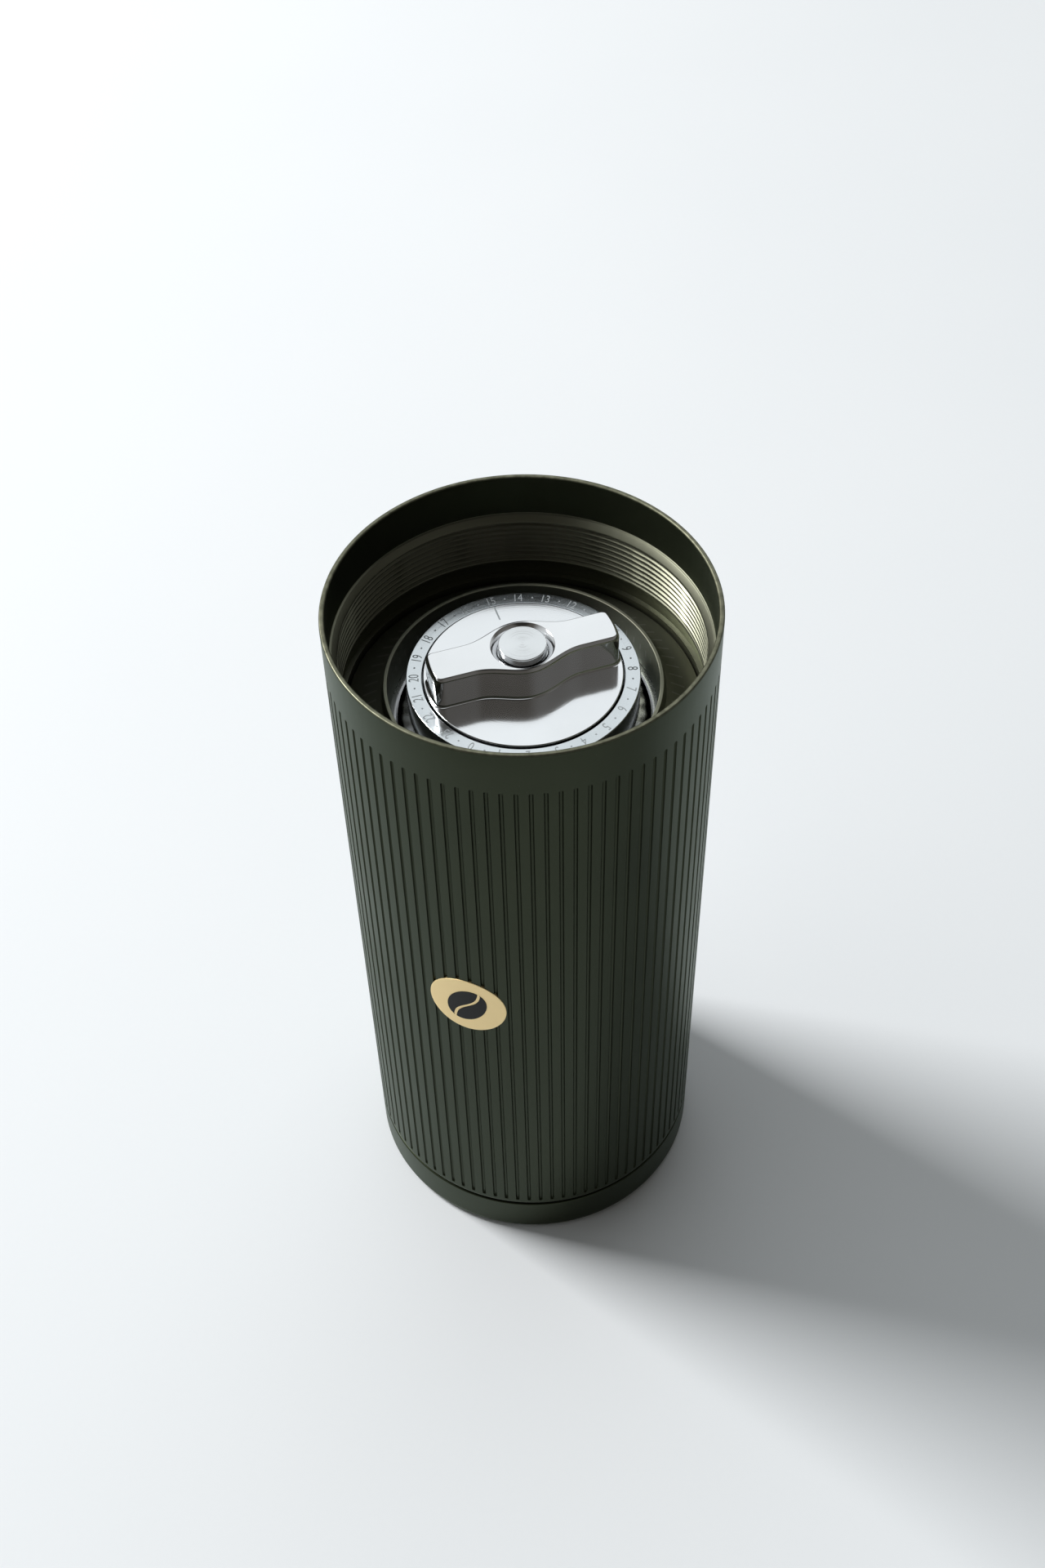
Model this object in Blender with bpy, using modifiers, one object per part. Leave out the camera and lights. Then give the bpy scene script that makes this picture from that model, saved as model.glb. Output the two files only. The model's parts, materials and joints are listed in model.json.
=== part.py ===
"""Hand crank coffee grinder, standing on its crank end with the grounds cup taken off.

Metres, +Z up. The origin is the centre of the face it stands on, so the adjusting dial looks up.
Every piece is built in place, in millimetres, and hangs from an empty on its own joint axis.
"""

import math

import bmesh
import bpy
from mathutils import Matrix, Vector

MM = 0.001

# Grinder body
BODY_R = 29.0
BODY_TOP = 130.1
BODY_FOOT = 9.0
GROOVES = 88
GROOVE_WIDTH = 0.65
GROOVE_DEPTH = 0.35
GROOVE_LOW, GROOVE_HIGH = 10.2, 122.4
GROOVE_PHASE = 1.2  # degrees from +X to the first groove
BORE_SIDES = 36
RIM_BORE_R = 28.17
THREAD_CREST_R = 27.1
THREAD_LOW, THREAD_HIGH = 113.9, 122.0
SEAT_Z = 105.0  # shoulder that carries the burr housing
HOPPER_R = 25.4
BADGE_R = 6.45
BADGE_ANGLE, BADGE_Z = -110.7, 69.9

# Burrs
LIP_R, LIP_Z = 20.3, 115.0
BURR_OUT_R = 20.9
BURR_TOP = 108.2

# Shaft and its two bearings
SHAFT_R = 3.95
HEX_R = 3.5
THREAD_END_R = 2.5
SHAFT_TOP = 116.4
BEARING_R, BEARING_BORE, BEARING_WIDTH = 8.0, 4.05, 5.0
BURR_BEARING_Z, HEAD_BEARING_Z = 79.0, 14.2

# Adjusting dial
SCALE_R, SCALE_TOP = 17.43, 116.2
DIAL_R, DIAL_TOP, DIAL_UNDER = 14.86, 116.55, 113.3
FIN_ANGLE, FIN_TOP, FIN_REACH = 17.0, 122.1, 14.5
FIN_HALF, BOSS_R, BLEND_REACH = 3.1, 5.4, 8.2
INDEX_ANGLE = 106.6
BUTTON_R, BUTTON_TOP = 3.57, 122.5
DETENT_R = 13.3

# Folding crank
DISC_TOP, PLUG_R, PLUG_TOP = 8.6, 25.6, 12.0
PIN_Y, PIN_Z, PIN_R = 33.4, 4.2, 1.5
EYE_R, EYE_HALF, EAR_IN, EAR_OUT = 4.0, 4.3, 5.1, 8.0
ARM_HALF_DEPTH = 2.2
KNOB_Z = 86.0


def finish(name, colour, metallic, roughness):
    material = bpy.data.materials.new(name)
    material.use_nodes = True
    shader = material.node_tree.nodes["Principled BSDF"]
    shader.inputs["Base Color"].default_value = (*colour, 1.0)
    shader.inputs["Metallic"].default_value = metallic
    shader.inputs["Roughness"].default_value = roughness
    material.diffuse_color = (*colour, 1.0)
    return material


def placed(name, mesh):
    piece = bpy.data.objects.new(name, mesh)
    bpy.context.scene.collection.objects.link(piece)
    return piece


def baked(piece):
    """The piece with its modifiers, or its curve, turned into plain welded mesh."""
    graph = bpy.context.evaluated_depsgraph_get()
    mesh = bpy.data.meshes.new_from_object(piece.evaluated_get(graph))
    work = bmesh.new()
    work.from_mesh(mesh)
    bmesh.ops.remove_doubles(work, verts=work.verts, dist=1e-7)
    bmesh.ops.recalc_face_normals(work, faces=work.faces)
    work.to_mesh(mesh)
    work.free()
    name, matrix = piece.name, piece.matrix_world.copy()
    bpy.data.objects.remove(piece)
    solid = placed(name, mesh)
    solid.matrix_world = matrix
    return solid


def lathe(name, profile, steps, phase=0.0):
    """Turns a profile of (radius, z) about Z. It runs down the outside first."""
    mesh = bpy.data.meshes.new(name)
    edges = [(i, i + 1) for i in range(len(profile) - 1)]
    if profile[0][0] > 0:
        edges.append((len(profile) - 1, 0))
    mesh.from_pydata([(r * MM, 0, z * MM) for r, z in profile], edges, [])
    piece = placed(name, mesh)
    screw = piece.modifiers.new("turn", "SCREW")
    screw.steps = screw.render_steps = steps
    screw.use_merge_vertices = True
    screw.merge_threshold = 1e-6
    solid = baked(piece)
    solid.data.transform(Matrix.Rotation(math.radians(phase), 4, "Z"))
    return solid


def rod(name, radius, start, end, sides, tip=None):
    """A round bar, or a cone when tip is given, between two points."""
    start, end = Vector(start) * MM, Vector(end) * MM
    along = end - start
    turn = along.to_track_quat("Z", "Y").to_matrix().to_4x4()
    work = bmesh.new()
    bmesh.ops.create_cone(
        work, cap_ends=True, segments=sides, radius1=radius * MM,
        radius2=(radius if tip is None else tip) * MM, depth=along.length,
        matrix=Matrix.Translation((start + end) / 2) @ turn)
    mesh = bpy.data.meshes.new(name)
    work.to_mesh(mesh)
    work.free()
    return placed(name, mesh)


def block(name, low, high, turn=0.0):
    """A box between two corners, turned about Z by an angle in degrees."""
    low, high = Vector(low) * MM, Vector(high) * MM
    size = high - low
    work = bmesh.new()
    bmesh.ops.create_cube(
        work, size=1.0,
        matrix=Matrix.Rotation(math.radians(turn), 4, "Z")
        @ Matrix.Translation((low + high) / 2) @ Matrix.Diagonal((*size, 1.0)))
    mesh = bpy.data.meshes.new(name)
    work.to_mesh(mesh)
    work.free()
    return placed(name, mesh)


def ball(name, radius, centre, rings=6, sides=8):
    work = bmesh.new()
    bmesh.ops.create_uvsphere(
        work, u_segments=sides, v_segments=rings, radius=radius * MM,
        matrix=Matrix.Translation(Vector(centre) * MM))
    mesh = bpy.data.meshes.new(name)
    work.to_mesh(mesh)
    work.free()
    return placed(name, mesh)


def slab(name, outline, low, high, matrix=None):
    """A flat outline in XY carried from low to high along Z, then moved by matrix."""
    curve = bpy.data.curves.new(name, "CURVE")
    curve.dimensions = "2D"
    curve.fill_mode = "BOTH"
    curve.extrude = (high - low) / 2 * MM
    line = curve.splines.new("POLY")
    line.points.add(len(outline) - 1)
    for point, (x, y) in zip(line.points, outline):
        point.co = (x * MM, y * MM, 0, 1)
    line.use_cyclic_u = True
    solid = baked(placed(name, curve))
    bpy.data.curves.remove(curve)
    solid.data.transform(Matrix.Translation((0, 0, (low + high) / 2 * MM)))
    if matrix is not None:
        solid.data.transform(matrix)
    return solid


def coil(name, mean_r, wire, low, high, turns, points, at=(0.0, 0.0)):
    """A spring of round wire about a line parallel to Z."""
    curve = bpy.data.curves.new(name, "CURVE")
    curve.dimensions = "3D"
    curve.bevel_depth = wire / 2 * MM
    curve.bevel_resolution = 0 if wire < 0.3 else 1
    curve.use_fill_caps = True
    count = int(turns * points) + 1
    line = curve.splines.new("POLY")
    line.points.add(count - 1)
    for i, point in enumerate(line.points):
        angle = 2 * math.pi * i / points
        z = low + wire / 2 + (high - low - wire) * i / (count - 1)
        point.co = ((at[0] + mean_r * math.cos(angle)) * MM,
                    (at[1] + mean_r * math.sin(angle)) * MM, z * MM, 1)
    solid = baked(placed(name, curve))
    bpy.data.curves.remove(curve)
    return solid


def combine(piece, other, operation):
    """Joins, cuts or intersects piece with other, which is used up."""
    boolean = piece.modifiers.new("shape", "BOOLEAN")
    boolean.operation = operation
    boolean.solver = "EXACT"
    boolean.object = other
    bpy.context.view_layer.update()
    solid = baked(piece)
    bpy.data.objects.remove(other)
    return solid


def cut(piece, *others):
    for other in others:
        piece = combine(piece, other, "DIFFERENCE")
    return piece


def join(piece, *others):
    for other in others:
        piece = combine(piece, other, "UNION")
    return piece


def finished(piece, material, pivot=None, name=None):
    """Gives the piece its material and smooth round sides, and hangs it from its axis."""
    if name:
        piece.name = name
    mesh = piece.data
    mesh.materials.clear()
    mesh.materials.append(material)
    mesh.shade_smooth()
    mesh.set_sharp_from_angle(angle=math.radians(32))
    if pivot is not None:
        bpy.context.view_layer.update()
        piece.parent = pivot
        piece.matrix_parent_inverse = pivot.matrix_world.inverted()
    return piece


def axis(name, at, parent=None):
    empty = bpy.data.objects.new(name, None)
    empty.empty_display_size = 0.01
    bpy.context.scene.collection.objects.link(empty)
    empty.location = Vector(at) * MM
    bpy.context.view_layer.update()
    if parent is not None:
        empty.parent = parent
        empty.matrix_parent_inverse = parent.matrix_world.inverted()
        bpy.context.view_layer.update()
    return empty


def polar(radius, angle):
    return radius * math.cos(math.radians(angle)), radius * math.sin(math.radians(angle))


def body_shell():
    """Tube with a threaded cup socket on top, the burr seat inside and straight flutes outside."""
    shell = lathe("body_shell", [
        (0, BODY_TOP), (BODY_R - 0.25, BODY_TOP), (BODY_R, BODY_TOP - 0.25),
        (BODY_R, BODY_FOOT + 0.4), (BODY_R - 0.4, BODY_FOOT), (0, BODY_FOOT)], GROOVES, GROOVE_PHASE)
    bore = lathe("bore", [
        (0, BODY_TOP + 1), (RIM_BORE_R + 1.18, BODY_TOP + 1), (RIM_BORE_R, BODY_TOP - 0.18),
        (RIM_BORE_R, 123.0), (27.85, 123.0), (THREAD_CREST_R, THREAD_HIGH),
        (THREAD_CREST_R, THREAD_LOW), (27.9, THREAD_LOW), (27.9, 110.8),
        (THREAD_CREST_R, 110.8), (THREAD_CREST_R, SEAT_Z), (26.2, SEAT_Z), (26.2, 86.0),
        (HOPPER_R, 86.0), (HOPPER_R, 20.0), (26.2, 20.0), (26.2, 13.9), (26.9, 13.9),
        (26.9, 12.6), (26.2, 12.6), (26.2, BODY_FOOT - 1), (0, BODY_FOOT - 1)],
        BORE_SIDES, GROOVE_PHASE)
    shell = cut(shell, bore)
    work = bmesh.new()
    for k in range(GROOVES):
        turn = math.radians(GROOVE_PHASE + 360 * k / GROOVES)
        middle = Vector((BODY_R - GROOVE_DEPTH + 0.5, 0, (GROOVE_LOW + GROOVE_HIGH) / 2)) * MM
        size = Vector((1.0, GROOVE_WIDTH, GROOVE_HIGH - GROOVE_LOW)) * MM
        bmesh.ops.create_cube(
            work, size=1.0,
            matrix=Matrix.Rotation(turn, 4, "Z") @ Matrix.Translation(middle)
            @ Matrix.Diagonal((*size, 1.0)))
    mesh = bpy.data.meshes.new("grooves")
    work.to_mesh(mesh)
    work.free()
    shell = cut(shell, placed("grooves", mesh))
    return cut(shell, badge_blank("pocket", BADGE_R + 0.1, BODY_R - 0.68, BODY_R + 1.5))


def badge_blank(name, radius, inner_r, outer_r):
    """A disc that follows the body's round side."""
    ring = lathe(name, [
        (outer_r, BADGE_Z + 9), (outer_r, BADGE_Z - 9), (inner_r, BADGE_Z - 9),
        (inner_r, BADGE_Z + 9)], GROOVES, GROOVE_PHASE)
    x, y = polar(1.0, BADGE_ANGLE)
    disc = rod("disc", radius, (20 * x, 20 * y, BADGE_Z), (32 * x, 32 * y, BADGE_Z), 28)
    return combine(ring, disc, "INTERSECT")


def bearing(name, low):
    """Outer race, balls on their cage and inner race of one ball bearing."""
    high, race = low + BEARING_WIDTH, 0.8
    outer = lathe(name + "_outer_race", [
        (BEARING_R, high), (BEARING_R, low), (6.8, low), (6.8, high)], 24)
    inner = lathe(name + "_inner_race", [
        (5.2, high), (5.2, low), (BEARING_BORE, low), (BEARING_BORE, high)], 16)
    middle = low + BEARING_WIDTH / 2
    balls = lathe(name + "_balls", [
        (6.22, middle + race / 2), (6.22, middle - race / 2), (5.78, middle - race / 2),
        (5.78, middle + race / 2)], 18, 4.0)
    for k in range(6):
        balls = join(balls, ball("ball", 0.7, (*polar(6.0, 60 * k), middle), 4, 6))
    return outer, balls, inner


def spider(name, ring, hub, arms, arm_angles):
    """A hub carried in a ring by three straight arms, with room for beans between them."""
    piece = lathe(name, ring, BORE_SIDES, GROOVE_PHASE)
    inner_r = min(r for r, _ in ring)
    for angle in arm_angles:
        low, high = (9.4, -2.5, arms[0]), (inner_r + 1.2, 2.5, arms[1])
        piece = join(piece, block("arm", low, high, angle))
    return join(piece, lathe("hub", hub, 24))


def washer(name, outer_r, inner_r, low, high, steps=16):
    return lathe(name, [(outer_r, high), (outer_r, low), (inner_r, low), (inner_r, high)], steps)


def open_ring(name, outer_r, inner_r, low, high, gap, angle=0.0, steps=16):
    """A retaining ring: a flat ring with a gap in it."""
    ring = washer(name, outer_r, inner_r, low, high, steps)
    return cut(ring, block("gap", (inner_r / 2, -gap / 2, low - 1),
                           (outer_r + 2, gap / 2, high + 1), angle))


def screw(name, at, head_z, head_h, head_r, shank_r, tip_z, socket=True):
    """A cap screw parallel to Z: head between head_z and head_z + head_h, shank to tip_z."""
    x, y = at
    head = rod(name, head_r, (x, y, head_z), (x, y, head_z + head_h), 12)
    inside = head_z + head_h / 2
    piece = join(head, rod("shank", shank_r, (x, y, inside), (x, y, tip_z), 8))
    if socket:
        outer = head_z if tip_z > head_z else head_z + head_h
        way = 1 if tip_z > head_z else -1
        deep = outer + way * head_h * 0.45
        piece = cut(piece, rod("socket", head_r * 0.5, (x, y, outer - way), (x, y, deep), 6))
    return piece


def drive_shaft():
    """Round shaft with a ring groove at each bearing, a hexagon at both ends and a threaded tip."""
    shaft = lathe("drive_shaft", [
        (0, 89.6), (SHAFT_R, 89.6), (SHAFT_R, 78.95), (HEX_R, 78.95), (HEX_R, 77.85),
        (SHAFT_R, 77.85), (SHAFT_R, 20.45), (HEX_R, 20.45), (HEX_R, 19.35), (SHAFT_R, 19.35),
        (SHAFT_R, 13.4), (0, 13.4)], 16)
    shaft = join(
        shaft,
        rod("head_hexagon", HEX_R, (0, 0, 3.7), (0, 0, 14.0), 6),
        rod("burr_hexagon", HEX_R, (0, 0, 89.0), (0, 0, 109.0), 6),
        rod("tip", THREAD_END_R, (0, 0, 108.0), (0, 0, SHAFT_TOP), 16))
    return cut(shaft, rod("screw_hole", 1.5, (0, 0, 2.7), (0, 0, 11.2), 12))


def fin_outline():
    """Straight bar that swells into a round boss, with rounded corners at its two ends."""
    corner, steps = 1.4, 14
    side = []
    for k in range(steps + 1):
        x = -BLEND_REACH + 2 * BLEND_REACH * k / steps
        swell = 0.03 + 0.97 * math.cos(math.pi * x / 2 / BLEND_REACH) ** 2
        side.append((x, FIN_HALF + (BOSS_R - FIN_HALF) * swell))
    tip = []
    for angle in (90.0, 60.0, 30.0, 0.0):
        x, y = polar(corner, angle)
        tip.append((FIN_REACH - 0.15 - corner + x, FIN_HALF - corner + y))
    half = side + tip + [(x, -y) for x, y in reversed(tip)]
    return [(-x, -y) for x, y in reversed(half)] + [(x, y) for x, y in reversed(half)]


def adjust_dial():
    """Disc with the finger fin on it, bored for the button, the nut and the two click balls."""
    dial = lathe("adjust_dial", [
        (0, DIAL_TOP), (DIAL_R - 0.2, DIAL_TOP), (DIAL_R, DIAL_TOP - 0.2), (DIAL_R, 115.3),
        (14.0, 115.3), (14.0, 114.3), (DIAL_R, 114.3), (DIAL_R, DIAL_UNDER), (0, DIAL_UNDER)], 40)
    turn = Matrix.Rotation(math.radians(FIN_ANGLE), 4, "Z")
    dial = join(dial, slab("fin", fin_outline(), DIAL_TOP - 1.0, FIN_TOP, turn))
    bore = lathe("bore", [
        (0, 123.1), (5.75, 123.1), (3.74, 121.09), (3.74, 120.6), (4.5, 120.6),
        (4.5, DIAL_UNDER - 1), (0, DIAL_UNDER - 1)], 22)
    dial = cut(dial, bore)
    dial = cut(dial, block("index", (11.5, -0.18, DIAL_TOP - 0.2), (16.0, 0.18, DIAL_TOP + 1),
                           INDEX_ANGLE))
    for angle in (FIN_ANGLE, FIN_ANGLE + 180):
        x, y = polar(DETENT_R, angle)
        hole = rod("hole", 0.85, (x, y, DIAL_UNDER - 1), (x, y, 117.6), 8)
        dial = cut(dial, hole)
    return dial


def crank_disc():
    """Lid that the crank turns: a thick disc with a plug, a slot for the yoke and a hexagon."""
    disc = lathe("crank_disc", [
        (PLUG_R - 0.4, PLUG_TOP), (PLUG_R, PLUG_TOP - 0.4), (PLUG_R, 11.3), (24.9, 11.3), (24.9, 9.5),
        (PLUG_R, 9.5), (PLUG_R, DISC_TOP), (BODY_R - 0.3, DISC_TOP), (BODY_R, DISC_TOP - 0.3),
        (BODY_R, 1.5), (BODY_R - 0.44, 0.44), (BODY_R - 1.5, 0.0), (8.2, 0.0), (8.2, 1.4),
        (4.2, 1.4), (4.2, 3.4), (2.0, 3.4), (2.0, PLUG_TOP)], 40, GROOVE_PHASE)
    disc = cut(disc, rod("hexagon", HEX_R + 0.15, (0, 0, 3.2), (0, 0, PLUG_TOP + 1), 6))
    disc = cut(disc, block("slot", (-EAR_OUT - 0.2, 12.0, -1), (EAR_OUT + 0.2, 32.0, 3.2)))
    for y in (16.5, 24.0):
        disc = cut(disc, rod("hole", 1.6, (0, y, 3.0), (0, y, 7.4), 12))
    return disc


def across():
    """Turns a slab drawn as (y, z) so that its thickness runs along X."""
    return Matrix(((0, 0, 1, 0), (1, 0, 0, 0), (0, 1, 0, 0), (0, 0, 0, 1)))


def crank_yoke():
    """Plate let into the crank disc, with two ears that hold the hinge pin."""
    ear = [(12.2, 0.0), (PIN_Y, 0.0)]
    reach = PIN_Z
    for k in range(1, 13):
        angle = math.radians(-90 + 20 * k)
        y, z = PIN_Y + reach * math.cos(angle), PIN_Z + reach * math.sin(angle)
        ear.append((y, z))
    ear += [(29.4, 3.0), (12.2, 3.0)]
    yoke = slab("crank_yoke", ear, -EAR_OUT, EAR_OUT, across())
    yoke = cut(yoke, block("eye_space", (-EAR_IN, 29.35, -1), (EAR_IN, 40, 10)))
    yoke = cut(yoke, rod("pin_hole", PIN_R + 0.1, (-10, PIN_Y, PIN_Z), (10, PIN_Y, PIN_Z), 16))
    for y in (16.5, 24.0):
        yoke = cut(yoke, rod("hole", 1.6, (0, y, -1), (0, y, 4), 12))
        yoke = cut(yoke, rod("countersink", 2.8, (0, y, -1), (0, y, 1.6), 14))
    return yoke


def crank_arm():
    """Flat arm with a hinge eye at one end and the knob's spindle hole at the other."""
    top = KNOB_Z - PIN_Z
    right = [(EYE_HALF, 0.0), (EYE_HALF, 5.2), (5.6, 8.0), (5.2, top - 22)]
    end = [(7.5 * math.cos(math.radians(a)), top + 7.5 * math.sin(math.radians(a)))
           for a in range(-20, 201, 20)]
    outline = right + end + [(-x, z) for x, z in reversed(right)]
    stand = Matrix(((1, 0, 0, 0), (0, 0, -1, PIN_Y * MM), (0, 1, 0, PIN_Z * MM), (0, 0, 0, 1)))
    arm = slab("crank_arm", outline, -ARM_HALF_DEPTH, ARM_HALF_DEPTH, stand)
    arm = join(arm, rod("eye", EYE_R, (-EYE_HALF, PIN_Y, PIN_Z), (EYE_HALF, PIN_Y, PIN_Z), 24))
    arm = cut(arm, rod("pin_hole", PIN_R + 0.1, (-9, PIN_Y, PIN_Z), (9, PIN_Y, PIN_Z), 16))
    arm = cut(arm, rod("spindle_hole", 3.0, (0, 28, KNOB_Z), (0, 40, KNOB_Z), 20))
    return cut(arm, rod("pad_hole", 3.1, (0, 30, 70), (0, 32.8, 70), 16))


def along_y(piece, z):
    """Turns a piece made about Z so that it points along +Y at height z."""
    piece.data.transform(Matrix.Translation((0, 0, z * MM)) @ Matrix.Rotation(-math.pi / 2, 4, "X"))
    return piece


def build_body(paint, steel, burr_steel, bright, gold):
    root = axis("grinder_body", (0, 0, 0))
    finished(body_shell(), paint, root)
    finished(badge_blank("badge_plate", BADGE_R, BODY_R - 0.6, BODY_R), gold, root)

    housing = lathe("burr_housing", [
        (LIP_R + 0.6, LIP_Z), (26.85, 109.7), (26.85, SEAT_Z + 0.1), (25.9, SEAT_Z + 0.1),
        (25.9, 88.0), (21.0, 88.0), (21.0, BURR_TOP + 0.1), (LIP_R, BURR_TOP + 0.1),
        (LIP_R, LIP_Z)], BORE_SIDES, GROOVE_PHASE)
    screw_angles = (30, 150, 270)
    for angle in screw_angles:
        x, y = polar(23.2, angle)
        housing = cut(housing, rod("hole", 1.15, (x, y, 87), (x, y, 96), 12))
    finished(housing, paint, root)

    finished(lathe("ring_burr", [
        (BURR_OUT_R, BURR_TOP), (BURR_OUT_R, 92.1), (17.6, 92.1), (15.6, 97.0), (16.65, 103.0),
        (19.2, 107.3), (19.2, BURR_TOP)], 32), burr_steel, root)

    bridge = spider(
        "burr_bridge",
        [(25.0, 87.9), (25.0, 83.6), (18.8, 83.6), (18.8, 91.9), (20.8, 91.9), (20.8, 87.9)],
        [(10.8, 84.6), (10.8, 77.6), (5.6, 77.6), (5.6, 78.8), (8.1, 78.8), (8.1, 84.6)],
        (81.0, 86.5), (90, 210, 330))
    for k, angle in enumerate(screw_angles):
        x, y = polar(23.2, angle)
        bridge = cut(bridge, rod("hole", 1.15, (x, y, 82), (x, y, 89), 12))
        piece = screw(f"bridge_screw_{k + 1}", (x, y), 82.0, 1.5, 1.9, 1.0, 94.5)
        finished(piece, steel, root)
    finished(bridge, bright, root)

    finished(spider(
        "head_spider",
        [(26.0, 19.9), (26.0, 14.2), (23.6, 14.2), (23.6, 19.9)],
        [(10.8, 20.6), (10.8, 13.8), (8.1, 13.8), (8.1, 19.4), (5.6, 19.4), (5.6, 20.6)],
        (14.8, 19.2), (30, 150, 270)), bright, root)
    finished(open_ring("spider_ring", 26.7, 24.6, 12.75, 13.75, 7.0, 90, BORE_SIDES), steel, root)
    return root


def build_drive(root, paint, steel, bright, rubber, polymer):
    drive = axis("crank_turn_axis", (0, 0, 0), root)
    for name, low in (("burr_bearing", BURR_BEARING_Z), ("head_bearing", HEAD_BEARING_Z)):
        outer, balls, inner = bearing(name, low)
        finished(outer, steel, root)
        finished(balls, bright, drive)
        finished(inner, steel, drive)
    finished(drive_shaft(), steel, drive)
    finished(open_ring("shaft_clip_1", 5.2, 3.6, 78.0, 78.8, 3.0), steel, drive)
    finished(open_ring("shaft_clip_2", 5.2, 3.6, 19.5, 20.3, 3.0), steel, drive)
    finished(washer("spring_washer", 5.9, 4.1, 84.15, 84.55), steel, drive)
    finished(crank_disc(), paint, drive)
    finished(open_ring("glide_ring", 25.95, 25.0, 9.65, 11.15, 1.0, 45, 40), polymer, drive)
    finished(screw("crank_screw", (0, 0), 1.5, 1.7, 3.9, 1.35, 10.6), steel, drive)
    finished(rod("hub_cap", 8.0, (0, 0, 0), (0, 0, 1.2), 36), bright, drive)
    finished(crank_yoke(), steel, drive)
    for k, y in enumerate((16.5, 24.0)):
        finished(screw(f"yoke_screw_{k + 1}", (0, y), 0.1, 1.3, 2.6, 1.4, 7.0), steel, drive)
    pin = rod("hinge_pin", PIN_R, (-7.9, PIN_Y, PIN_Z), (7.9, PIN_Y, PIN_Z), 16)
    finished(pin, steel, drive)
    return drive


def build_burr_carriage(drive, burr_steel, steel, polished, bronze):
    carriage = axis("burr_shift_axis", (0, 0, 90), drive)
    finished(lathe("inner_burr", [
        (18.6, 108.5), (18.6, 107.3), (16.0, 103.0), (12.5, 98.0), (9.0, 92.0), (7.4, 87.2),
        (6.2, 87.2), (6.2, 108.5)], 32), burr_steel, carriage)
    core = lathe("burr_core", [
        (12.0, 110.4), (12.0, 108.7), (6.05, 108.7), (6.05, 90.0), (2.9, 90.0), (2.9, 110.4)], 20)
    core = cut(core, rod("hexagon", HEX_R + 0.15, (0, 0, 89), (0, 0, 112), 6))
    ring = lathe("scale_ring", [
        (SCALE_R - 0.15, SCALE_TOP), (SCALE_R, SCALE_TOP - 0.15), (SCALE_R, 110.6), (8.6, 110.6),
        (8.6, 111.6), (15.1, 111.6), (15.1, SCALE_TOP)], 40)
    burr = bpy.data.objects["inner_burr"]
    for k, angle in enumerate((0, 120, 240)):
        at = polar(10.0, angle)
        hole = ("hole", 1.0, (*at, 104.4), (*at, 113), 8)
        core, ring = cut(core, rod(*hole)), cut(ring, rod(*hole))
        burr = cut(burr, rod(*hole))
        piece = screw(f"carrier_screw_{k + 1}", at, 111.7, 0.95, 1.25, 0.9, 105.0)
        finished(piece, steel, carriage)
    finished(burr, burr_steel, carriage)
    finished(core, steel, carriage)
    finished(ring, polished, carriage)
    finished(washer("detent_plate", 14.95, 11.8, 111.75, 112.7, 40), steel, carriage)
    finished(coil("burr_spring", 5.0, 0.9, 84.75, 89.8, 3, 10), bronze, carriage)
    return carriage


def build_dial(carriage, polished, steel, brass, rubber):
    dial = axis("dial_turn_axis", (0, 0, DIAL_UNDER), carriage)
    finished(adjust_dial(), polished, dial)
    finished(lathe("dial_nut", [
        (4.35, 115.0), (4.35, 112.9), (7.8, 112.9), (7.8, 110.7), (THREAD_END_R + 0.1, 110.7),
        (THREAD_END_R + 0.1, 115.0)], 24), brass, dial)
    finished(washer("dial_seal", 14.98, 14.1, 114.4, 115.2, 40), rubber, dial)
    for k, angle in enumerate((FIN_ANGLE, FIN_ANGLE + 180)):
        at = polar(DETENT_R, angle)
        finished(ball(f"detent_ball_{k + 1}", 0.75, (*at, 113.55)), steel, dial)
        finished(coil(f"detent_spring_{k + 1}", 0.5, 0.2, 114.4, 117.5, 4, 5, at), steel, dial)

    press = axis("button_press_axis", (0, 0, BUTTON_TOP), dial)
    finished(lathe("dial_button", [
        (0, BUTTON_TOP), (BUTTON_R - 0.12, BUTTON_TOP), (BUTTON_R, BUTTON_TOP - 0.12),
        (BUTTON_R, 120.45), (4.3, 120.45), (4.3, 119.3), (0, 119.3)], 28), polished, press)
    finished(coil("button_spring", 3.5, 0.45, 115.1, 119.2, 3, 10), steel, press)
    return dial


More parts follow.
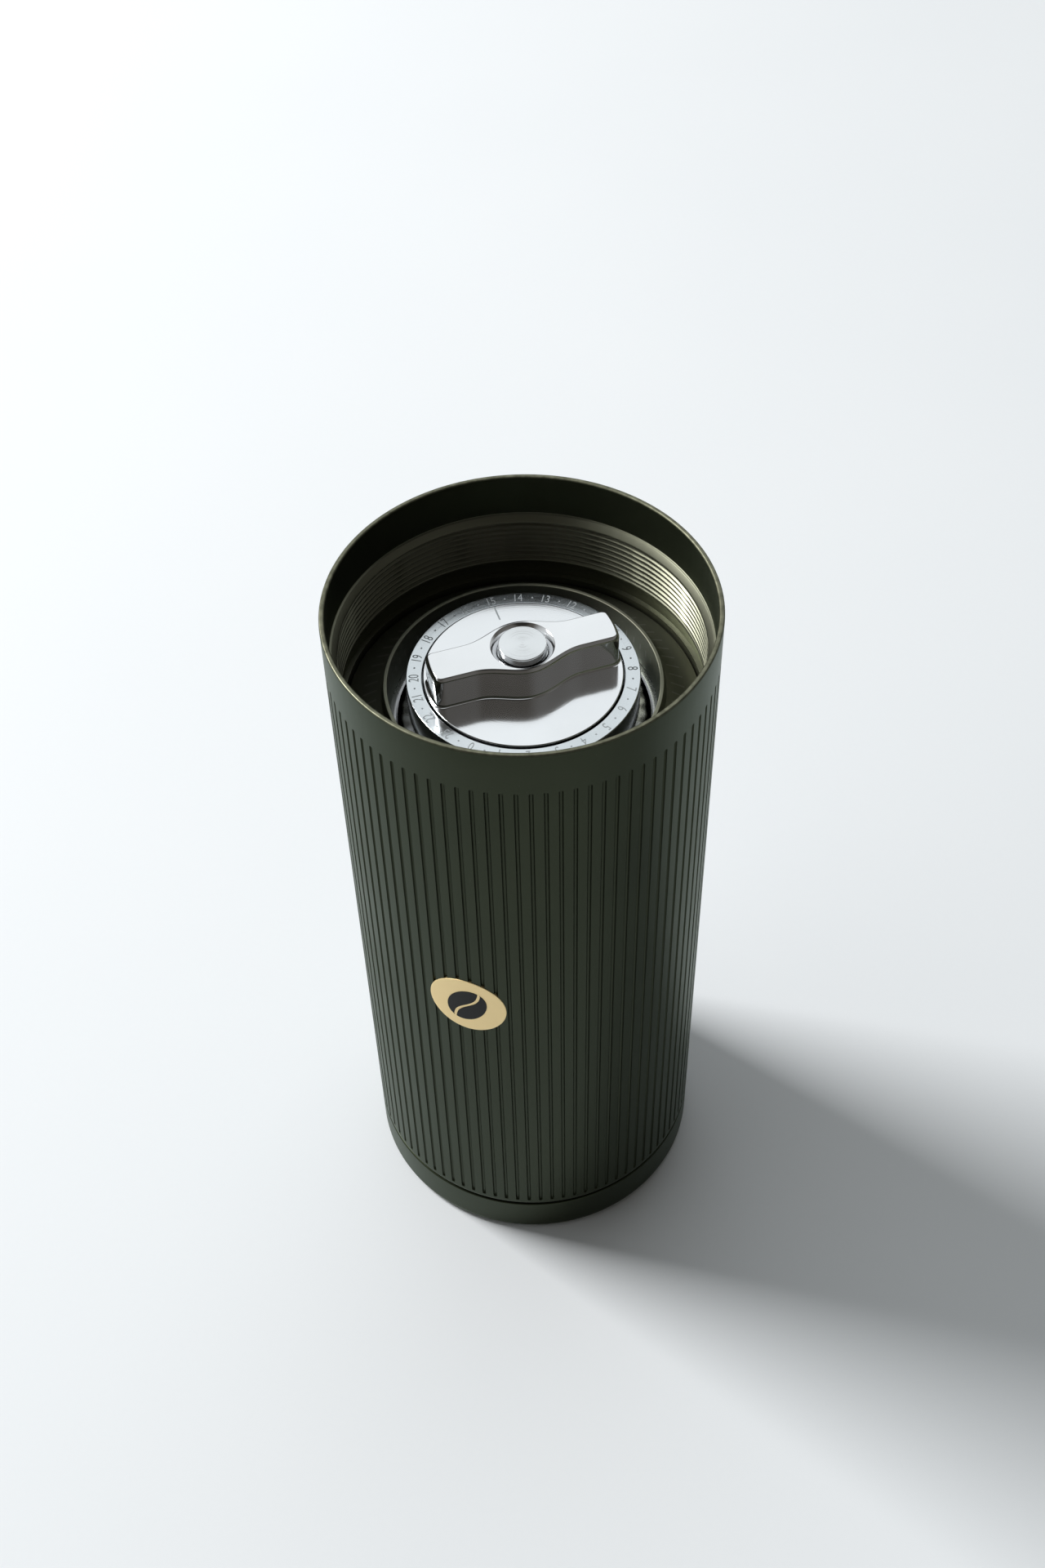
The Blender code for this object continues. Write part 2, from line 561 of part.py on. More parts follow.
def build_crank(drive, steel, bright, rubber, polymer, bronze, wood):
    fold = axis("crank_fold_axis", (0, PIN_Y, PIN_Z), drive)
    finished(crank_arm(), bright, fold)
    for k, side in enumerate((-1, 1)):
        ring = cut(rod(f"hinge_washer_{k + 1}", 3.6, (side * 4.42, PIN_Y, PIN_Z),
                       (side * 4.98, PIN_Y, PIN_Z), 18),
                   rod("hole", PIN_R + 0.1, (-9, PIN_Y, PIN_Z), (9, PIN_Y, PIN_Z), 16))
        finished(ring, bronze, fold)
    finished(rod("arm_bumper", 3.0, (0, 29.5, 70), (0, 32.6, 70), 16), rubber, fold)

    spindle = lathe("knob_spindle", [
        (0, 56.6), (2.3, 56.6), (2.3, 55.4), (1.8, 55.4), (1.8, 54.4), (2.3, 54.4), (2.3, 37.0),
        (4.8, 37.0), (4.8, 35.8), (2.9, 35.8), (2.9, 31.9), (0, 31.9)], 16)
    finished(along_y(spindle, KNOB_Z), steel, fold)
    clip = open_ring("knob_clip", 3.5, 1.9, 54.55, 55.25, 2.4, 0, 16)
    finished(along_y(clip, KNOB_Z), steel, fold)

    spin = axis("knob_spin_axis", (0, 36, KNOB_Z), fold)
    finished(along_y(washer("knob_washer", 5.2, 2.45, 37.15, 37.65, 18), KNOB_Z), polymer, spin)
    finished(along_y(washer("knob_bush", 3.6, 2.42, 37.8, 54.0, 18), KNOB_Z), bronze, spin)
    knob = lathe("crank_knob", [
        (8.4, 58.4), (10.4, 57.4), (11.7, 55.0), (12.0, 51.6), (11.2, 47.2), (9.4, 43.0),
        (7.9, 39.6), (7.4, 37.8), (3.8, 37.8), (3.8, 54.1), (6.2, 54.1), (6.2, 58.4)], 24)
    finished(along_y(knob, KNOB_Z), wood, spin)
    cap = lathe("knob_cap", [
        (0, 59.0), (4.6, 58.9), (6.0, 58.4), (6.0, 57.3), (0, 57.3)], 24)
    finished(along_y(cap, KNOB_Z), bright, spin)


def main():
    for old in list(bpy.data.objects):
        bpy.data.objects.remove(old)
    paint = finish("olive_anodised", (0.036, 0.038, 0.024), 0.6, 0.42)
    steel = finish("ground_steel", (0.55, 0.55, 0.56), 1.0, 0.32)
    burr_steel = finish("burr_steel", (0.42, 0.42, 0.43), 1.0, 0.38)
    polished = finish("polished_steel", (0.78, 0.78, 0.8), 1.0, 0.08)
    bright = finish("bare_aluminium", (0.72, 0.72, 0.73), 1.0, 0.3)
    brass = finish("brass", (0.72, 0.52, 0.22), 1.0, 0.3)
    bronze = finish("bronze", (0.55, 0.36, 0.18), 1.0, 0.4)
    gold = finish("badge_gold", (0.62, 0.45, 0.22), 0.4, 0.45)
    rubber = finish("black_rubber", (0.02, 0.02, 0.02), 0.0, 0.8)
    polymer = finish("white_polymer", (0.7, 0.7, 0.66), 0.0, 0.5)
    wood = finish("walnut", (0.16, 0.075, 0.035), 0.0, 0.5)

    root = build_body(paint, steel, burr_steel, bright, gold)
    drive = build_drive(root, paint, steel, bright, rubber, polymer)
    carriage = build_burr_carriage(drive, burr_steel, steel, polished, bronze)
    build_dial(carriage, polished, steel, brass, rubber)
    build_crank(drive, steel, bright, rubber, polymer, bronze, wood)


main()
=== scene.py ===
# Hand crank coffee grinder, standing on its crank end with the cup off.
# All sizes below are in millimetres, angles in degrees, unless a note says otherwise.
import bpy
import bmesh
import json
import math
import numpy as np
from mathutils import Matrix

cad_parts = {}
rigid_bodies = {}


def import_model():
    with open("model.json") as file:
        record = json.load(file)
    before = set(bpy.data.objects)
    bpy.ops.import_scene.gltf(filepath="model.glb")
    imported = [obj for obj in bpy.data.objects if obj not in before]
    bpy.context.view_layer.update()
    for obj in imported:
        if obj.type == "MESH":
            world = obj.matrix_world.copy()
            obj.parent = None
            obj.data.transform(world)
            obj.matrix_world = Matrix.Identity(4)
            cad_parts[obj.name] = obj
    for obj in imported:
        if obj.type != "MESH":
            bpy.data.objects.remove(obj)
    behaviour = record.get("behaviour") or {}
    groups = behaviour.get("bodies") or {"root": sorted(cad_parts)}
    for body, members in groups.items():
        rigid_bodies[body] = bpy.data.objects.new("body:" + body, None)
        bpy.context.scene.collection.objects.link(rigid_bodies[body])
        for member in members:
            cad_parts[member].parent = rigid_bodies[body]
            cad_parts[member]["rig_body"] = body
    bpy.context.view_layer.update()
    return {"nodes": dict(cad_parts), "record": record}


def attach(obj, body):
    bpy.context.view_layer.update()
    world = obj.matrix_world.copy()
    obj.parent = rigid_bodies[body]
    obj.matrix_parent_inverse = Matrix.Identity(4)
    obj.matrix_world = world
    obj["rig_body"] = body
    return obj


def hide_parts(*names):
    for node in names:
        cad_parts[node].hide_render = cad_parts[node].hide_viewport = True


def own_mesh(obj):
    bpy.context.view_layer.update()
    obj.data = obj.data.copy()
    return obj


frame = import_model()
print("frame loaded:", len(frame["nodes"]), "nodes")


def gridFaces(rows, columns, wrapRows=False, wrapColumns=True, start=0):
    # face (i, j) joins points (i, j), (i, j+1), (i+1, j+1), (i+1, j) of a rows x columns grid
    i = np.arange(rows if wrapRows else rows - 1)[:, None]
    j = np.arange(columns if wrapColumns else columns - 1)[None, :]
    below, above = i * columns, ((i + 1) % rows) * columns
    right = (j + 1) % columns
    faces = np.stack([below + j, below + right, above + right, above + j], -1)
    return (start + faces.reshape(-1, 4)).tolist()


def weldMesh(mesh, distance, outwards=False):
    work = bmesh.new()
    work.from_mesh(mesh)
    bmesh.ops.remove_doubles(work, verts=work.verts, dist=distance)
    if outwards:
        bmesh.ops.recalc_face_normals(work, faces=work.faces)
    work.to_mesh(mesh)
    work.free()


def makePiece(name, points, faces, crease=35, weld=True):
    # points in mm; shading is smooth where two faces meet at less than the crease angle
    mesh = bpy.data.meshes.new(name)
    mesh.from_pydata((np.asarray(points, float) * 0.001).tolist(), [], faces)
    if weld:
        weldMesh(mesh, 2e-7)
    mesh.polygons.foreach_set("use_smooth", np.ones(len(mesh.polygons), bool))
    mesh.set_sharp_from_angle(angle=math.radians(crease))
    piece = bpy.data.objects.new(name, mesh)
    bpy.context.scene.collection.objects.link(piece)
    return piece


def finishPiece(piece, body, slotName, material, *nodes):
    piece.data.materials.clear()
    piece.data.materials.append(material)
    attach(piece, body)
    if nodes:
        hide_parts(*nodes)
    return piece


def addPiece(name, shape, body, slotName, material, *nodes, outwards=False, **settings):
    # shape = (points, faces); outwards turns every face to look out of the solid
    piece = makePiece(name, *shape, **settings)
    if outwards:
        weldMesh(piece.data, 2e-6, outwards=True)
    return finishPiece(piece, body, slotName, material, *nodes)


def rounded(corners, steps=3):
    # corners are (x, y, radius); each corner turns on an arc: centre + slerp(start - centre, end - centre)
    count, found = len(corners), []
    for i, (x, y, radius) in enumerate(corners):
        corner = np.array([x, y], float)
        if radius <= 0:
            found.append(corner[None])
            continue
        back = np.array(corners[i - 1][:2], float) - corner
        ahead = np.array(corners[(i + 1) % count][:2], float) - corner
        back, ahead = back / np.linalg.norm(back), ahead / np.linalg.norm(ahead)
        half = math.acos(float(np.clip(back @ ahead, -1, 1))) / 2
        reach, sweep = radius / math.tan(half), math.pi - 2 * half
        centre = corner + (back + ahead) / np.linalg.norm(back + ahead) * radius / math.sin(half)
        first, last = corner + back * reach - centre, corner + ahead * reach - centre
        t = np.linspace(0, 1, steps + 1)[:, None]
        arc = centre + (np.sin((1 - t) * sweep) * first + np.sin(t * sweep) * last) / math.sin(sweep)
        # one guard point on each side keeps the flat beside the arc flat in shading
        found += [corner + back[None] * (reach + 0.35 * radius), arc, corner + ahead[None] * (reach + 0.35 * radius)]
    return np.concatenate(found)


def onCircles(radius, angle, height):
    # point (i, j) = (r_ij cos a_j, r_ij sin a_j, h_i), for radii and heights in columns
    return np.stack([radius * np.cos(angle), radius * np.sin(angle), height + 0 * angle], -1)


def turned(profile, sides, closed=True):
    # the profile of (radius, height) runs up the outside and down the inside
    profile = np.asarray(profile, float)
    grid = onCircles(profile[:, :1], np.arange(sides) * 2 * math.pi / sides, profile[:, 1:2])
    return grid.reshape(-1, 3), gridFaces(len(profile), sides, wrapRows=closed)


def spun(flat, degrees):
    turn = math.radians(degrees)
    return flat @ np.array([[math.cos(turn), math.sin(turn)], [-math.sin(turn), math.cos(turn)]])


def alongY(points, x, z):
    # turns a piece made about the Z axis so that its axis is +Y through (x, z)
    return np.stack([points[:, 0] + x, points[:, 2], z - points[:, 1]], -1)


def alongX(points, y, z):
    return np.stack([points[:, 2], points[:, 0] + y, points[:, 1] + z], -1)


def joined(*shapes):
    points, faces, start = [], [], 0
    for shapePoints, shapeFaces in shapes:
        points.append(np.asarray(shapePoints, float))
        faces += [[start + v for v in face] for face in shapeFaces]
        start += len(shapePoints)
    return np.concatenate(points), faces


def outlineNormals(outline):
    # outward unit normal of a closed counter-clockwise outline: the tangent turned by -90 degrees
    tangent = np.roll(outline, -1, 0) - np.roll(outline, 1, 0)
    tangent /= np.linalg.norm(tangent, axis=1, keepdims=True)
    return np.stack([tangent[:, 1], -tangent[:, 0]], -1)


def carried(outline, rows, caps=True):
    # point (i, j) = (outline_j + d_i * normal_j, h_i), for rows of (d, h)
    normal = outlineNormals(outline)
    rows = np.asarray(rows, float)
    flat = outline[None] + rows[:, None, :1] * normal[None]
    height = np.broadcast_to(rows[:, None, 1:], flat[..., :1].shape)
    points = np.concatenate([flat, height], -1).reshape(-1, 3)
    count, faces = len(outline), gridFaces(len(rows), len(outline))
    if caps:
        faces += [list(range(count))[::-1], list(range(count * (len(rows) - 1), count * len(rows)))]
    return points, faces


def slab(top, bottom):
    # two matching grids of points (rows, columns, 3), one face up and one down, closed round their four sides
    rows, columns = top.shape[:2]
    size = rows * columns
    faces = gridFaces(rows, columns, wrapColumns=False)
    faces += [[v + size for v in face[::-1]] for face in faces]
    index = np.arange(size).reshape(rows, columns)
    border = np.concatenate([index[0, :-1], index[:-1, -1], index[-1, :0:-1], index[:0:-1, 0]])
    after = np.roll(border, -1)
    faces += np.stack([after, border, border + size, after + size], -1).tolist()
    return np.concatenate([top.reshape(-1, 3), bottom.reshape(-1, 3)]), faces


def smoothStep(t):
    t = np.clip(t, 0, 1)
    return t * t * (3 - 2 * t)


def smoothThrough(points, steps=6):
    # Catmull-Rom curve through the points: 0.5 * (2b + (c-a)t + (2a-5b+4c-d)t^2 + (3b-a-3c+d)t^3)
    points = np.asarray(points, float)
    wide = np.concatenate([2 * points[:1] - points[1:2], points, 2 * points[-1:] - points[-2:-1]])
    a, b, c, d = (wide[k:len(wide) - 3 + k, None] for k in range(4))
    t = (np.arange(steps) / steps)[None, :, None]
    curve = 0.5 * (2 * b + (c - a) * t + (2 * a - 5 * b + 4 * c - d) * t**2 + (3 * b - a - 3 * c + d) * t**3)
    return np.concatenate([curve.reshape(-1, 2), points[-1:]])


def linkInputs(tree, node, links):
    # links: socket name or number -> a value or another node's output
    for key, value in links.items():
        if isinstance(value, bpy.types.NodeSocket):
            tree.links.new(value, node.inputs[key])
        else:
            node.inputs[key].default_value = value
    return node.outputs


def addNode(tree, kind, links=None, **settings):
    node = tree.nodes.new("ShaderNode" + kind)
    for key, value in settings.items():
        setattr(node, key, value)
    return linkInputs(tree, node, links or {})


def mathNode(tree, operation, *values):
    return addNode(tree, "Math", dict(enumerate(values)), operation=operation)[0]


def vectorNode(tree, operation, first, second=None):
    # the second input of SCALE is a number; LENGTH and DOT_PRODUCT give a number
    links = {0: first}
    if second is not None:
        links["Scale" if operation == "SCALE" else 1] = second
    found = addNode(tree, "VectorMath", links, operation=operation)
    return found["Value" if operation in ("LENGTH", "DOT_PRODUCT") else 0]


def remap(tree, value, low, high, toLow=0.0, toHigh=1.0, **settings):
    return addNode(tree, "MapRange", {0: value, 1: low, 2: high, 3: toLow, 4: toHigh}, **settings)[0]


def noise(tree, vector, scale, detail=2.0):
    return addNode(tree, "TexNoise", {"Vector": vector, "Scale": scale, "Detail": detail})


def mixColours(tree, factor, first, second):
    return addNode(tree, "Mix", {0: factor, 6: first, 7: second}, data_type="RGBA")[2]


def fromAxis(tree, vector):
    # the vector without its Z, and its length
    parts = addNode(tree, "SeparateXYZ", {0: vector})
    flat = addNode(tree, "CombineXYZ", {0: parts[0], 1: parts[1]})[0]
    return flat, vectorNode(tree, "LENGTH", flat)


def newGroup(name, inputs, outputs):
    # returns the group's tree, what it is given, and a function that links its results
    tree = bpy.data.node_groups.new(name, "ShaderNodeTree")
    for label, kind, value in inputs:
        socket = tree.interface.new_socket(name=label, in_out="INPUT", socket_type="NodeSocket" + kind)
        if value is not None:
            socket.default_value = value
    for label, kind in outputs:
        tree.interface.new_socket(name=label, in_out="OUTPUT", socket_type="NodeSocket" + kind)
    given, end = tree.nodes.new("NodeGroupInput").outputs, tree.nodes.new("NodeGroupOutput")
    return tree, given, lambda results: linkInputs(tree, end, results)


def makeMottle():
    # cloudy change of colour and roughness, with a fine height for bump
    tree, given, give = newGroup(
        "mottledFinish",
        [("Vector", "Vector", None), ("Cloud Scale", "Float", 60.0), ("Grain Scale", "Float", 2500.0),
         ("Dark Colour", "Color", (0.1, 0.1, 0.1, 1)), ("Light Colour", "Color", (0.2, 0.2, 0.2, 1)),
         ("Least Roughness", "Float", 0.3), ("Most Roughness", "Float", 0.5)],
        [("Colour", "Color"), ("Roughness", "Float"), ("Height", "Float")])
    cloud = remap(tree, noise(tree, given["Vector"], given["Cloud Scale"], 4.0)[0], 0.3, 0.7)
    grain = noise(tree, given["Vector"], given["Grain Scale"])[0]
    both = mathNode(tree, "ADD", mathNode(tree, "MULTIPLY", cloud, 0.65), mathNode(tree, "MULTIPLY", grain, 0.35))
    give({"Colour": mixColours(tree, both, given["Dark Colour"], given["Light Colour"]), "Height": grain,
          "Roughness": remap(tree, both, 0.1, 0.9, given["Least Roughness"], given["Most Roughness"])})
    return tree


def makeEdgeWear():
    # mask: 1 at Value = Edge, fading over Width, broken up by noise; it marks worn edges and painted highlights
    tree, given, give = newGroup(
        "edgeWearAndHighlight",
        [("Vector", "Vector", None), ("Value", "Float", 0.0), ("Edge", "Float", 0.0), ("Width", "Float", 0.001),
         ("Break Scale", "Float", 900.0), ("Amount", "Float", 1.0)],
        [("Mask", "Float")])
    away = mathNode(tree, "ABSOLUTE", mathNode(tree, "SUBTRACT", given["Value"], given["Edge"]))
    near = remap(tree, mathNode(tree, "DIVIDE", away, given["Width"]), 1.0, 0.0, interpolation_type="SMOOTHSTEP")
    broken = remap(tree, noise(tree, given["Vector"], given["Break Scale"], 3.0)[0], 0.3, 0.7, 0.45)
    give({"Mask": mathNode(tree, "MULTIPLY", mathNode(tree, "MULTIPLY", near, broken), given["Amount"])})
    return tree


def makeSpeckle():
    # mask of sparse fine specks, for dust and tiny nicks
    tree, given, give = newGroup(
        "speckle", [("Vector", "Vector", None), ("Scale", "Float", 900.0), ("Share", "Float", 0.1)], [("Mask", "Float")])
    cells = addNode(tree, "TexVoronoi", {"Vector": given["Vector"], "Scale": given["Scale"]})[0]
    patch = noise(tree, given["Vector"], mathNode(tree, "MULTIPLY", given["Scale"], 0.08))[0]
    give({"Mask": remap(tree, cells, mathNode(tree, "MULTIPLY", given["Share"], patch), 0.0)})
    return tree


def makeTurnedFace():
    # tool rings: the normal leans out and in by Lean, with a ring every Pitch metres from the Z axis of Vector
    tree, given, give = newGroup(
        "turnedFace",
        [("Vector", "Vector", None), ("Normal", "Vector", None), ("Pitch", "Float", 0.0001), ("Lean", "Float", 0.02)],
        [("Normal", "Vector"), ("Rings", "Float")])
    flat, radius = fromAxis(tree, given["Vector"])
    phase = mathNode(tree, "DIVIDE", radius, given["Pitch"])
    uneven = addNode(tree, "TexNoise", {"W": phase, "Scale": 1.7, "Detail": 2.0}, noise_dimensions="1D")[0]
    wave = mathNode(tree, "SINE", mathNode(tree, "MULTIPLY_ADD", phase, 6.2832, mathNode(tree, "MULTIPLY", uneven, 9.0)))
    push = vectorNode(tree, "SCALE", vectorNode(tree, "NORMALIZE", flat), mathNode(tree, "MULTIPLY", wave, given["Lean"]))
    give({"Normal": vectorNode(tree, "NORMALIZE", vectorNode(tree, "ADD", given["Normal"], push)),
          "Rings": mathNode(tree, "MULTIPLY_ADD", wave, 0.5, 0.5)})
    return tree


mottleGroup, wearAndHighlightGroup = makeMottle(), makeEdgeWear()
speckleGroup, turnedGroup = makeSpeckle(), makeTurnedFace()
print("shader groups built")


def startMaterial(name, metallic, **sockets):
    material = bpy.data.materials.new(name)
    material.use_nodes = True
    tree = material.node_tree
    shader = tree.nodes["Principled BSDF"]
    linkInputs(tree, shader, {"Metallic": metallic, **sockets})
    return material, tree, shader, tree.nodes.new("ShaderNodeTexCoord").outputs["Object"]


def colour(values):
    return (*values, 1)


def addMottle(tree, shader, place, look):
    # cloudy colour and roughness on the shader
    base = addNode(tree, "Group", {
        "Vector": place, "Cloud Scale": look.get("cloud", 60.0), "Grain Scale": look.get("grain", 2500.0),
        "Dark Colour": colour(look["dark"]), "Light Colour": colour(look["light"]),
        "Least Roughness": look["rough"][0], "Most Roughness": look["rough"][1]}, node_tree=mottleGroup)
    linkInputs(tree, shader, {"Base Color": base["Colour"], "Roughness": base["Roughness"]})
    return base


def addBump(tree, shader, height, strength, distance=0.00002):
    bump = addNode(tree, "Bump", {"Height": height, "Strength": strength, "Distance": distance})
    linkInputs(tree, shader, {"Normal": bump[0]})


def mottledMaterial(name, look):
    # the common finish: cloudy colour and roughness, fine bump, and a few specks
    material, tree, shader, place = startMaterial(name, look["metallic"], **look.get("sockets", {}))
    base = addMottle(tree, shader, place, look)
    specks = addNode(tree, "Group", {"Vector": place, "Scale": 700.0, "Share": look.get("specks", 0.05)}, node_tree=speckleGroup)["Mask"]
    speckColour = colour(look.get("speckColour", (0.4, 0.4, 0.38)))
    shade = mixColours(tree, mathNode(tree, "MULTIPLY", specks, 0.5), base["Colour"], speckColour)
    linkInputs(tree, shader, {"Base Color": shade})
    addBump(tree, shader, base["Height"], look.get("bump", 0.2))
    return material, tree, shader, place, shade, base["Roughness"]


def finish(metallic, dark, light, rough, **more):
    return {"metallic": metallic, "dark": dark, "light": light, "rough": rough, **more}


# the pale edge colour stands for worn, rubbed edges and also for a painted highlight on the rim and the housing's lip
oliveLook = finish(0.9, (0.0216, 0.0256, 0.0140), (0.0317, 0.0368, 0.0210), (0.37, 0.45), sockets={"Specular Tint": (0.90, 0.97, 0.91, 1)},
                   grain=3500.0, bump=0.25, specks=0.05, wornColour=(0.27, 0.265, 0.19))
# the bore: its radius in metres, where its mouth ends, the colour mixed in below that (a painted brightening in place
# of the light falling on the threads and inner walls), and what is added to the roughness
shellBore = {"radius": 0.02835, "top": 0.1231, "colour": (0.215, 0.215, 0.16), "rough": -0.01, "mouthRough": 0.14}
housingBore = {"radius": 0.03, "top": 0.1231, "colour": (0.24, 0.243, 0.19), "rough": 0.1, "mouthRough": 0.14}
# share of the bore's colour mixed in below the mouth: a painted brightening
paintedBoreLightShare = 0.75


def makeOlive(name, look, edges, bore=None):
    # satin anodised aluminium; edges = (height, width, amount): bands mixed towards the pale edge colour, partly worn,
    # rubbed metal and, on the rim and the housing's lip, partly a painted highlight
    material, tree, shader, place, shade, rough = mottledMaterial(name, look)
    height = addNode(tree, "SeparateXYZ", {0: place})[2]
    for edge, width, amount in edges:
        wearAndHighlightInputs = {"Vector": place, "Value": height, "Edge": edge, "Width": width, "Amount": amount}
        mask = addNode(tree, "Group", wearAndHighlightInputs, node_tree=wearAndHighlightGroup)["Mask"]
        shade = mixColours(tree, mask, shade, colour(look["wornColour"]))
    if bore:
        # below the mouth the colour is painted lighter, a painted brightening in place of the light on the threads and
        # the burr housing, and the mouth is duller
        inside = mathNode(tree, "LESS_THAN", fromAxis(tree, place)[1], bore["radius"])
        below = mathNode(tree, "MULTIPLY", inside, mathNode(tree, "LESS_THAN", height, bore["top"]))
        shade = mixColours(tree, below, shade, mixColours(tree, paintedBoreLightShare, shade, colour(bore["colour"])))
        mouth = mathNode(tree, "SUBTRACT", inside, below)
        duller = mathNode(tree, "MULTIPLY_ADD", mouth, bore["mouthRough"], rough)
        linkInputs(tree, shader, {"Roughness": mathNode(tree, "MULTIPLY_ADD", inside, bore["rough"], duller)})
    linkInputs(tree, shader, {"Base Color": shade})
    return material, tree, shader, place, shade


# the rim's band at 0.1301 is worn edge lightened further as a painted highlight; the foot's band is worn edge
oliveBody = makeOlive("oliveBody", oliveLook, [(0.1301, 0.00028, 0.75), (0.0091, 0.0005, 0.3)], shellBore)[0]
oliveDisc = makeOlive("oliveDisc", oliveLook, [(0.0008, 0.0007, 0.5)])[0]

tickLook = {"count": 72, "share": 0.07, "low": 0.1112, "high": 0.1124, "strength": 0.6, "colour": (0.34, 0.34, 0.3)}


def makeHousing(look):
    # plain tick marks in pale etch on the flange: short radial strokes, one every five degrees
    # the lip's band at 0.115 is worn edge and partly a painted highlight; the whole housing lies inside housingBore, so
    # all of it gets the painted brightening
    material, tree, shader, place, shade = makeOlive("oliveHousing", oliveLook, [(0.115, 0.0003, 0.9), (0.1097, 0.0003, 0.4)], housingBore)
    parts = addNode(tree, "SeparateXYZ", {0: place})
    turns = mathNode(tree, "MULTIPLY", mathNode(tree, "ARCTAN2", parts[1], parts[0]), look["count"] / (2 * math.pi))
    across = mathNode(tree, "ABSOLUTE", mathNode(tree, "SUBTRACT", mathNode(tree, "FRACT", turns), 0.5))
    mask = mathNode(tree, "LESS_THAN", across, look["share"])
    for test, level in (("GREATER_THAN", look["low"]), ("LESS_THAN", look["high"])):
        mask = mathNode(tree, "MULTIPLY", mask, mathNode(tree, test, parts[2], level))
    mask = mathNode(tree, "MULTIPLY", mask, look["strength"])
    linkInputs(tree, shader, {"Base Color": mixColours(tree, mask, shade, colour(look["colour"]))})
    return material


oliveHousing = makeHousing(tickLook)


def makeTurnedMetal(name, look):
    # bright metal faced on a lathe: rings of slightly leaning normals over faint clouds
    material, tree, shader, place = startMaterial(name, look["metallic"])
    addMottle(tree, shader, place, dict(look, cloud=90.0, grain=4000.0))
    normal = addNode(tree, "NewGeometry")["Normal"]
    moved = vectorNode(tree, "SUBTRACT", place, look.get("centre", (0.0, 0.0, 0.0)))
    if "centre" in look:    # a piece about a line along Y
        moved = addNode(tree, "VectorRotate", {"Vector": moved, "Axis": (1, 0, 0), "Angle": math.pi / 2})[0]
    rings = addNode(tree, "Group", {"Vector": moved, "Normal": normal, "Pitch": look["pitch"], "Lean": look["lean"]}, node_tree=turnedGroup)
    if "centre" in look:
        addBump(tree, shader, rings["Rings"], 0.15)
    else:
        linkInputs(tree, shader, {"Normal": rings["Normal"]})
    return material


turnedLooks = {
    "ringSteel": finish(1.0, (0.58, 0.61, 0.63), (0.70, 0.73, 0.75), (0.14, 0.22), pitch=0.00025, lean=0.012),
    "dialSteel": finish(1.0, (0.76, 0.76, 0.77), (0.84, 0.84, 0.85), (0.06, 0.11), pitch=0.0006, lean=0.003),
    "discSteel": finish(1.0, (0.76, 0.765, 0.78), (0.84, 0.845, 0.86), (0.10, 0.15), pitch=0.0004, lean=0.005),
    "buttonSteel": finish(1.0, (0.68, 0.69, 0.70), (0.80, 0.81, 0.82), (0.12, 0.18), pitch=0.00012, lean=0.19),
    "hubMetal": finish(1.0, (0.60, 0.60, 0.61), (0.74, 0.74, 0.75), (0.22, 0.32), pitch=0.0002, lean=0.05),
    "capMetal": finish(1.0, (0.60, 0.60, 0.61), (0.74, 0.74, 0.75), (0.2, 0.3), pitch=0.00018, lean=0.05, centre=(0.0, 0.0, 0.086)),
}
plainLooks = {
    "groundSteel": finish(1.0, (0.42, 0.42, 0.43), (0.60, 0.60, 0.61), (0.22, 0.34), grain=3000.0, specks=0.06),
    "burrSteel": finish(1.0, (0.34, 0.34, 0.35), (0.52, 0.52, 0.53), (0.2, 0.36), grain=2600.0, specks=0.1),
    "blastedAluminium": finish(0.9, (0.50, 0.50, 0.51), (0.64, 0.64, 0.65), (0.4, 0.52), grain=5200.0, bump=0.45),
    "brassMetal": finish(1.0, (0.60, 0.42, 0.17), (0.76, 0.57, 0.27), (0.2, 0.34), specks=0.08, speckColour=(0.4, 0.28, 0.12)),
    "bronzeMetal": finish(1.0, (0.36, 0.21, 0.10), (0.54, 0.34, 0.18), (0.34, 0.48), specks=0.16, speckColour=(0.2, 0.11, 0.05)),
    "sealRubber": finish(0.0, (0.008, 0.008, 0.008), (0.02, 0.02, 0.02), (0.6, 0.8), grain=2200.0, bump=0.4, specks=0.08,
                         speckColour=(0.08, 0.08, 0.08)),
    "acetal": finish(0.0, (0.66, 0.66, 0.61), (0.78, 0.78, 0.73), (0.32, 0.44), specks=0.03, speckColour=(0.5, 0.5, 0.46)),
    "badgeGold": finish(0.5, (0.92, 0.71, 0.36), (0.99, 0.79, 0.42), (0.45, 0.56), grain=5200.0, bump=0.3, speckColour=(0.3, 0.22, 0.12)),
    "badgeInk": finish(0.0, (0.010, 0.011, 0.010), (0.018, 0.019, 0.020), (0.6, 0.75), specks=0.04, sockets={"Specular IOR Level": 0.25}),
    "etchedGrey": finish(0.3, (0.25, 0.275, 0.285), (0.37, 0.395, 0.405), (0.5, 0.65), cloud=300.0, specks=0.1),
}
metals = {name: makeTurnedMetal(name, look) for name, look in turnedLooks.items()}
plain = {name: mottledMaterial(name, look)[0] for name, look in plainLooks.items()}

walnutLook = {"shift": (0.011, 0.0, -0.078), "turn": (0.1, 0.2, 0.0), "along": 0.12, "rings": 130.0, "pull": 0.006, "poreShare": 0.7,
              "dark": (0.085, 0.040, 0.018), "light": (0.20, 0.105, 0.052), "pore": (0.030, 0.014, 0.007), "rough": (0.5, 0.38)}


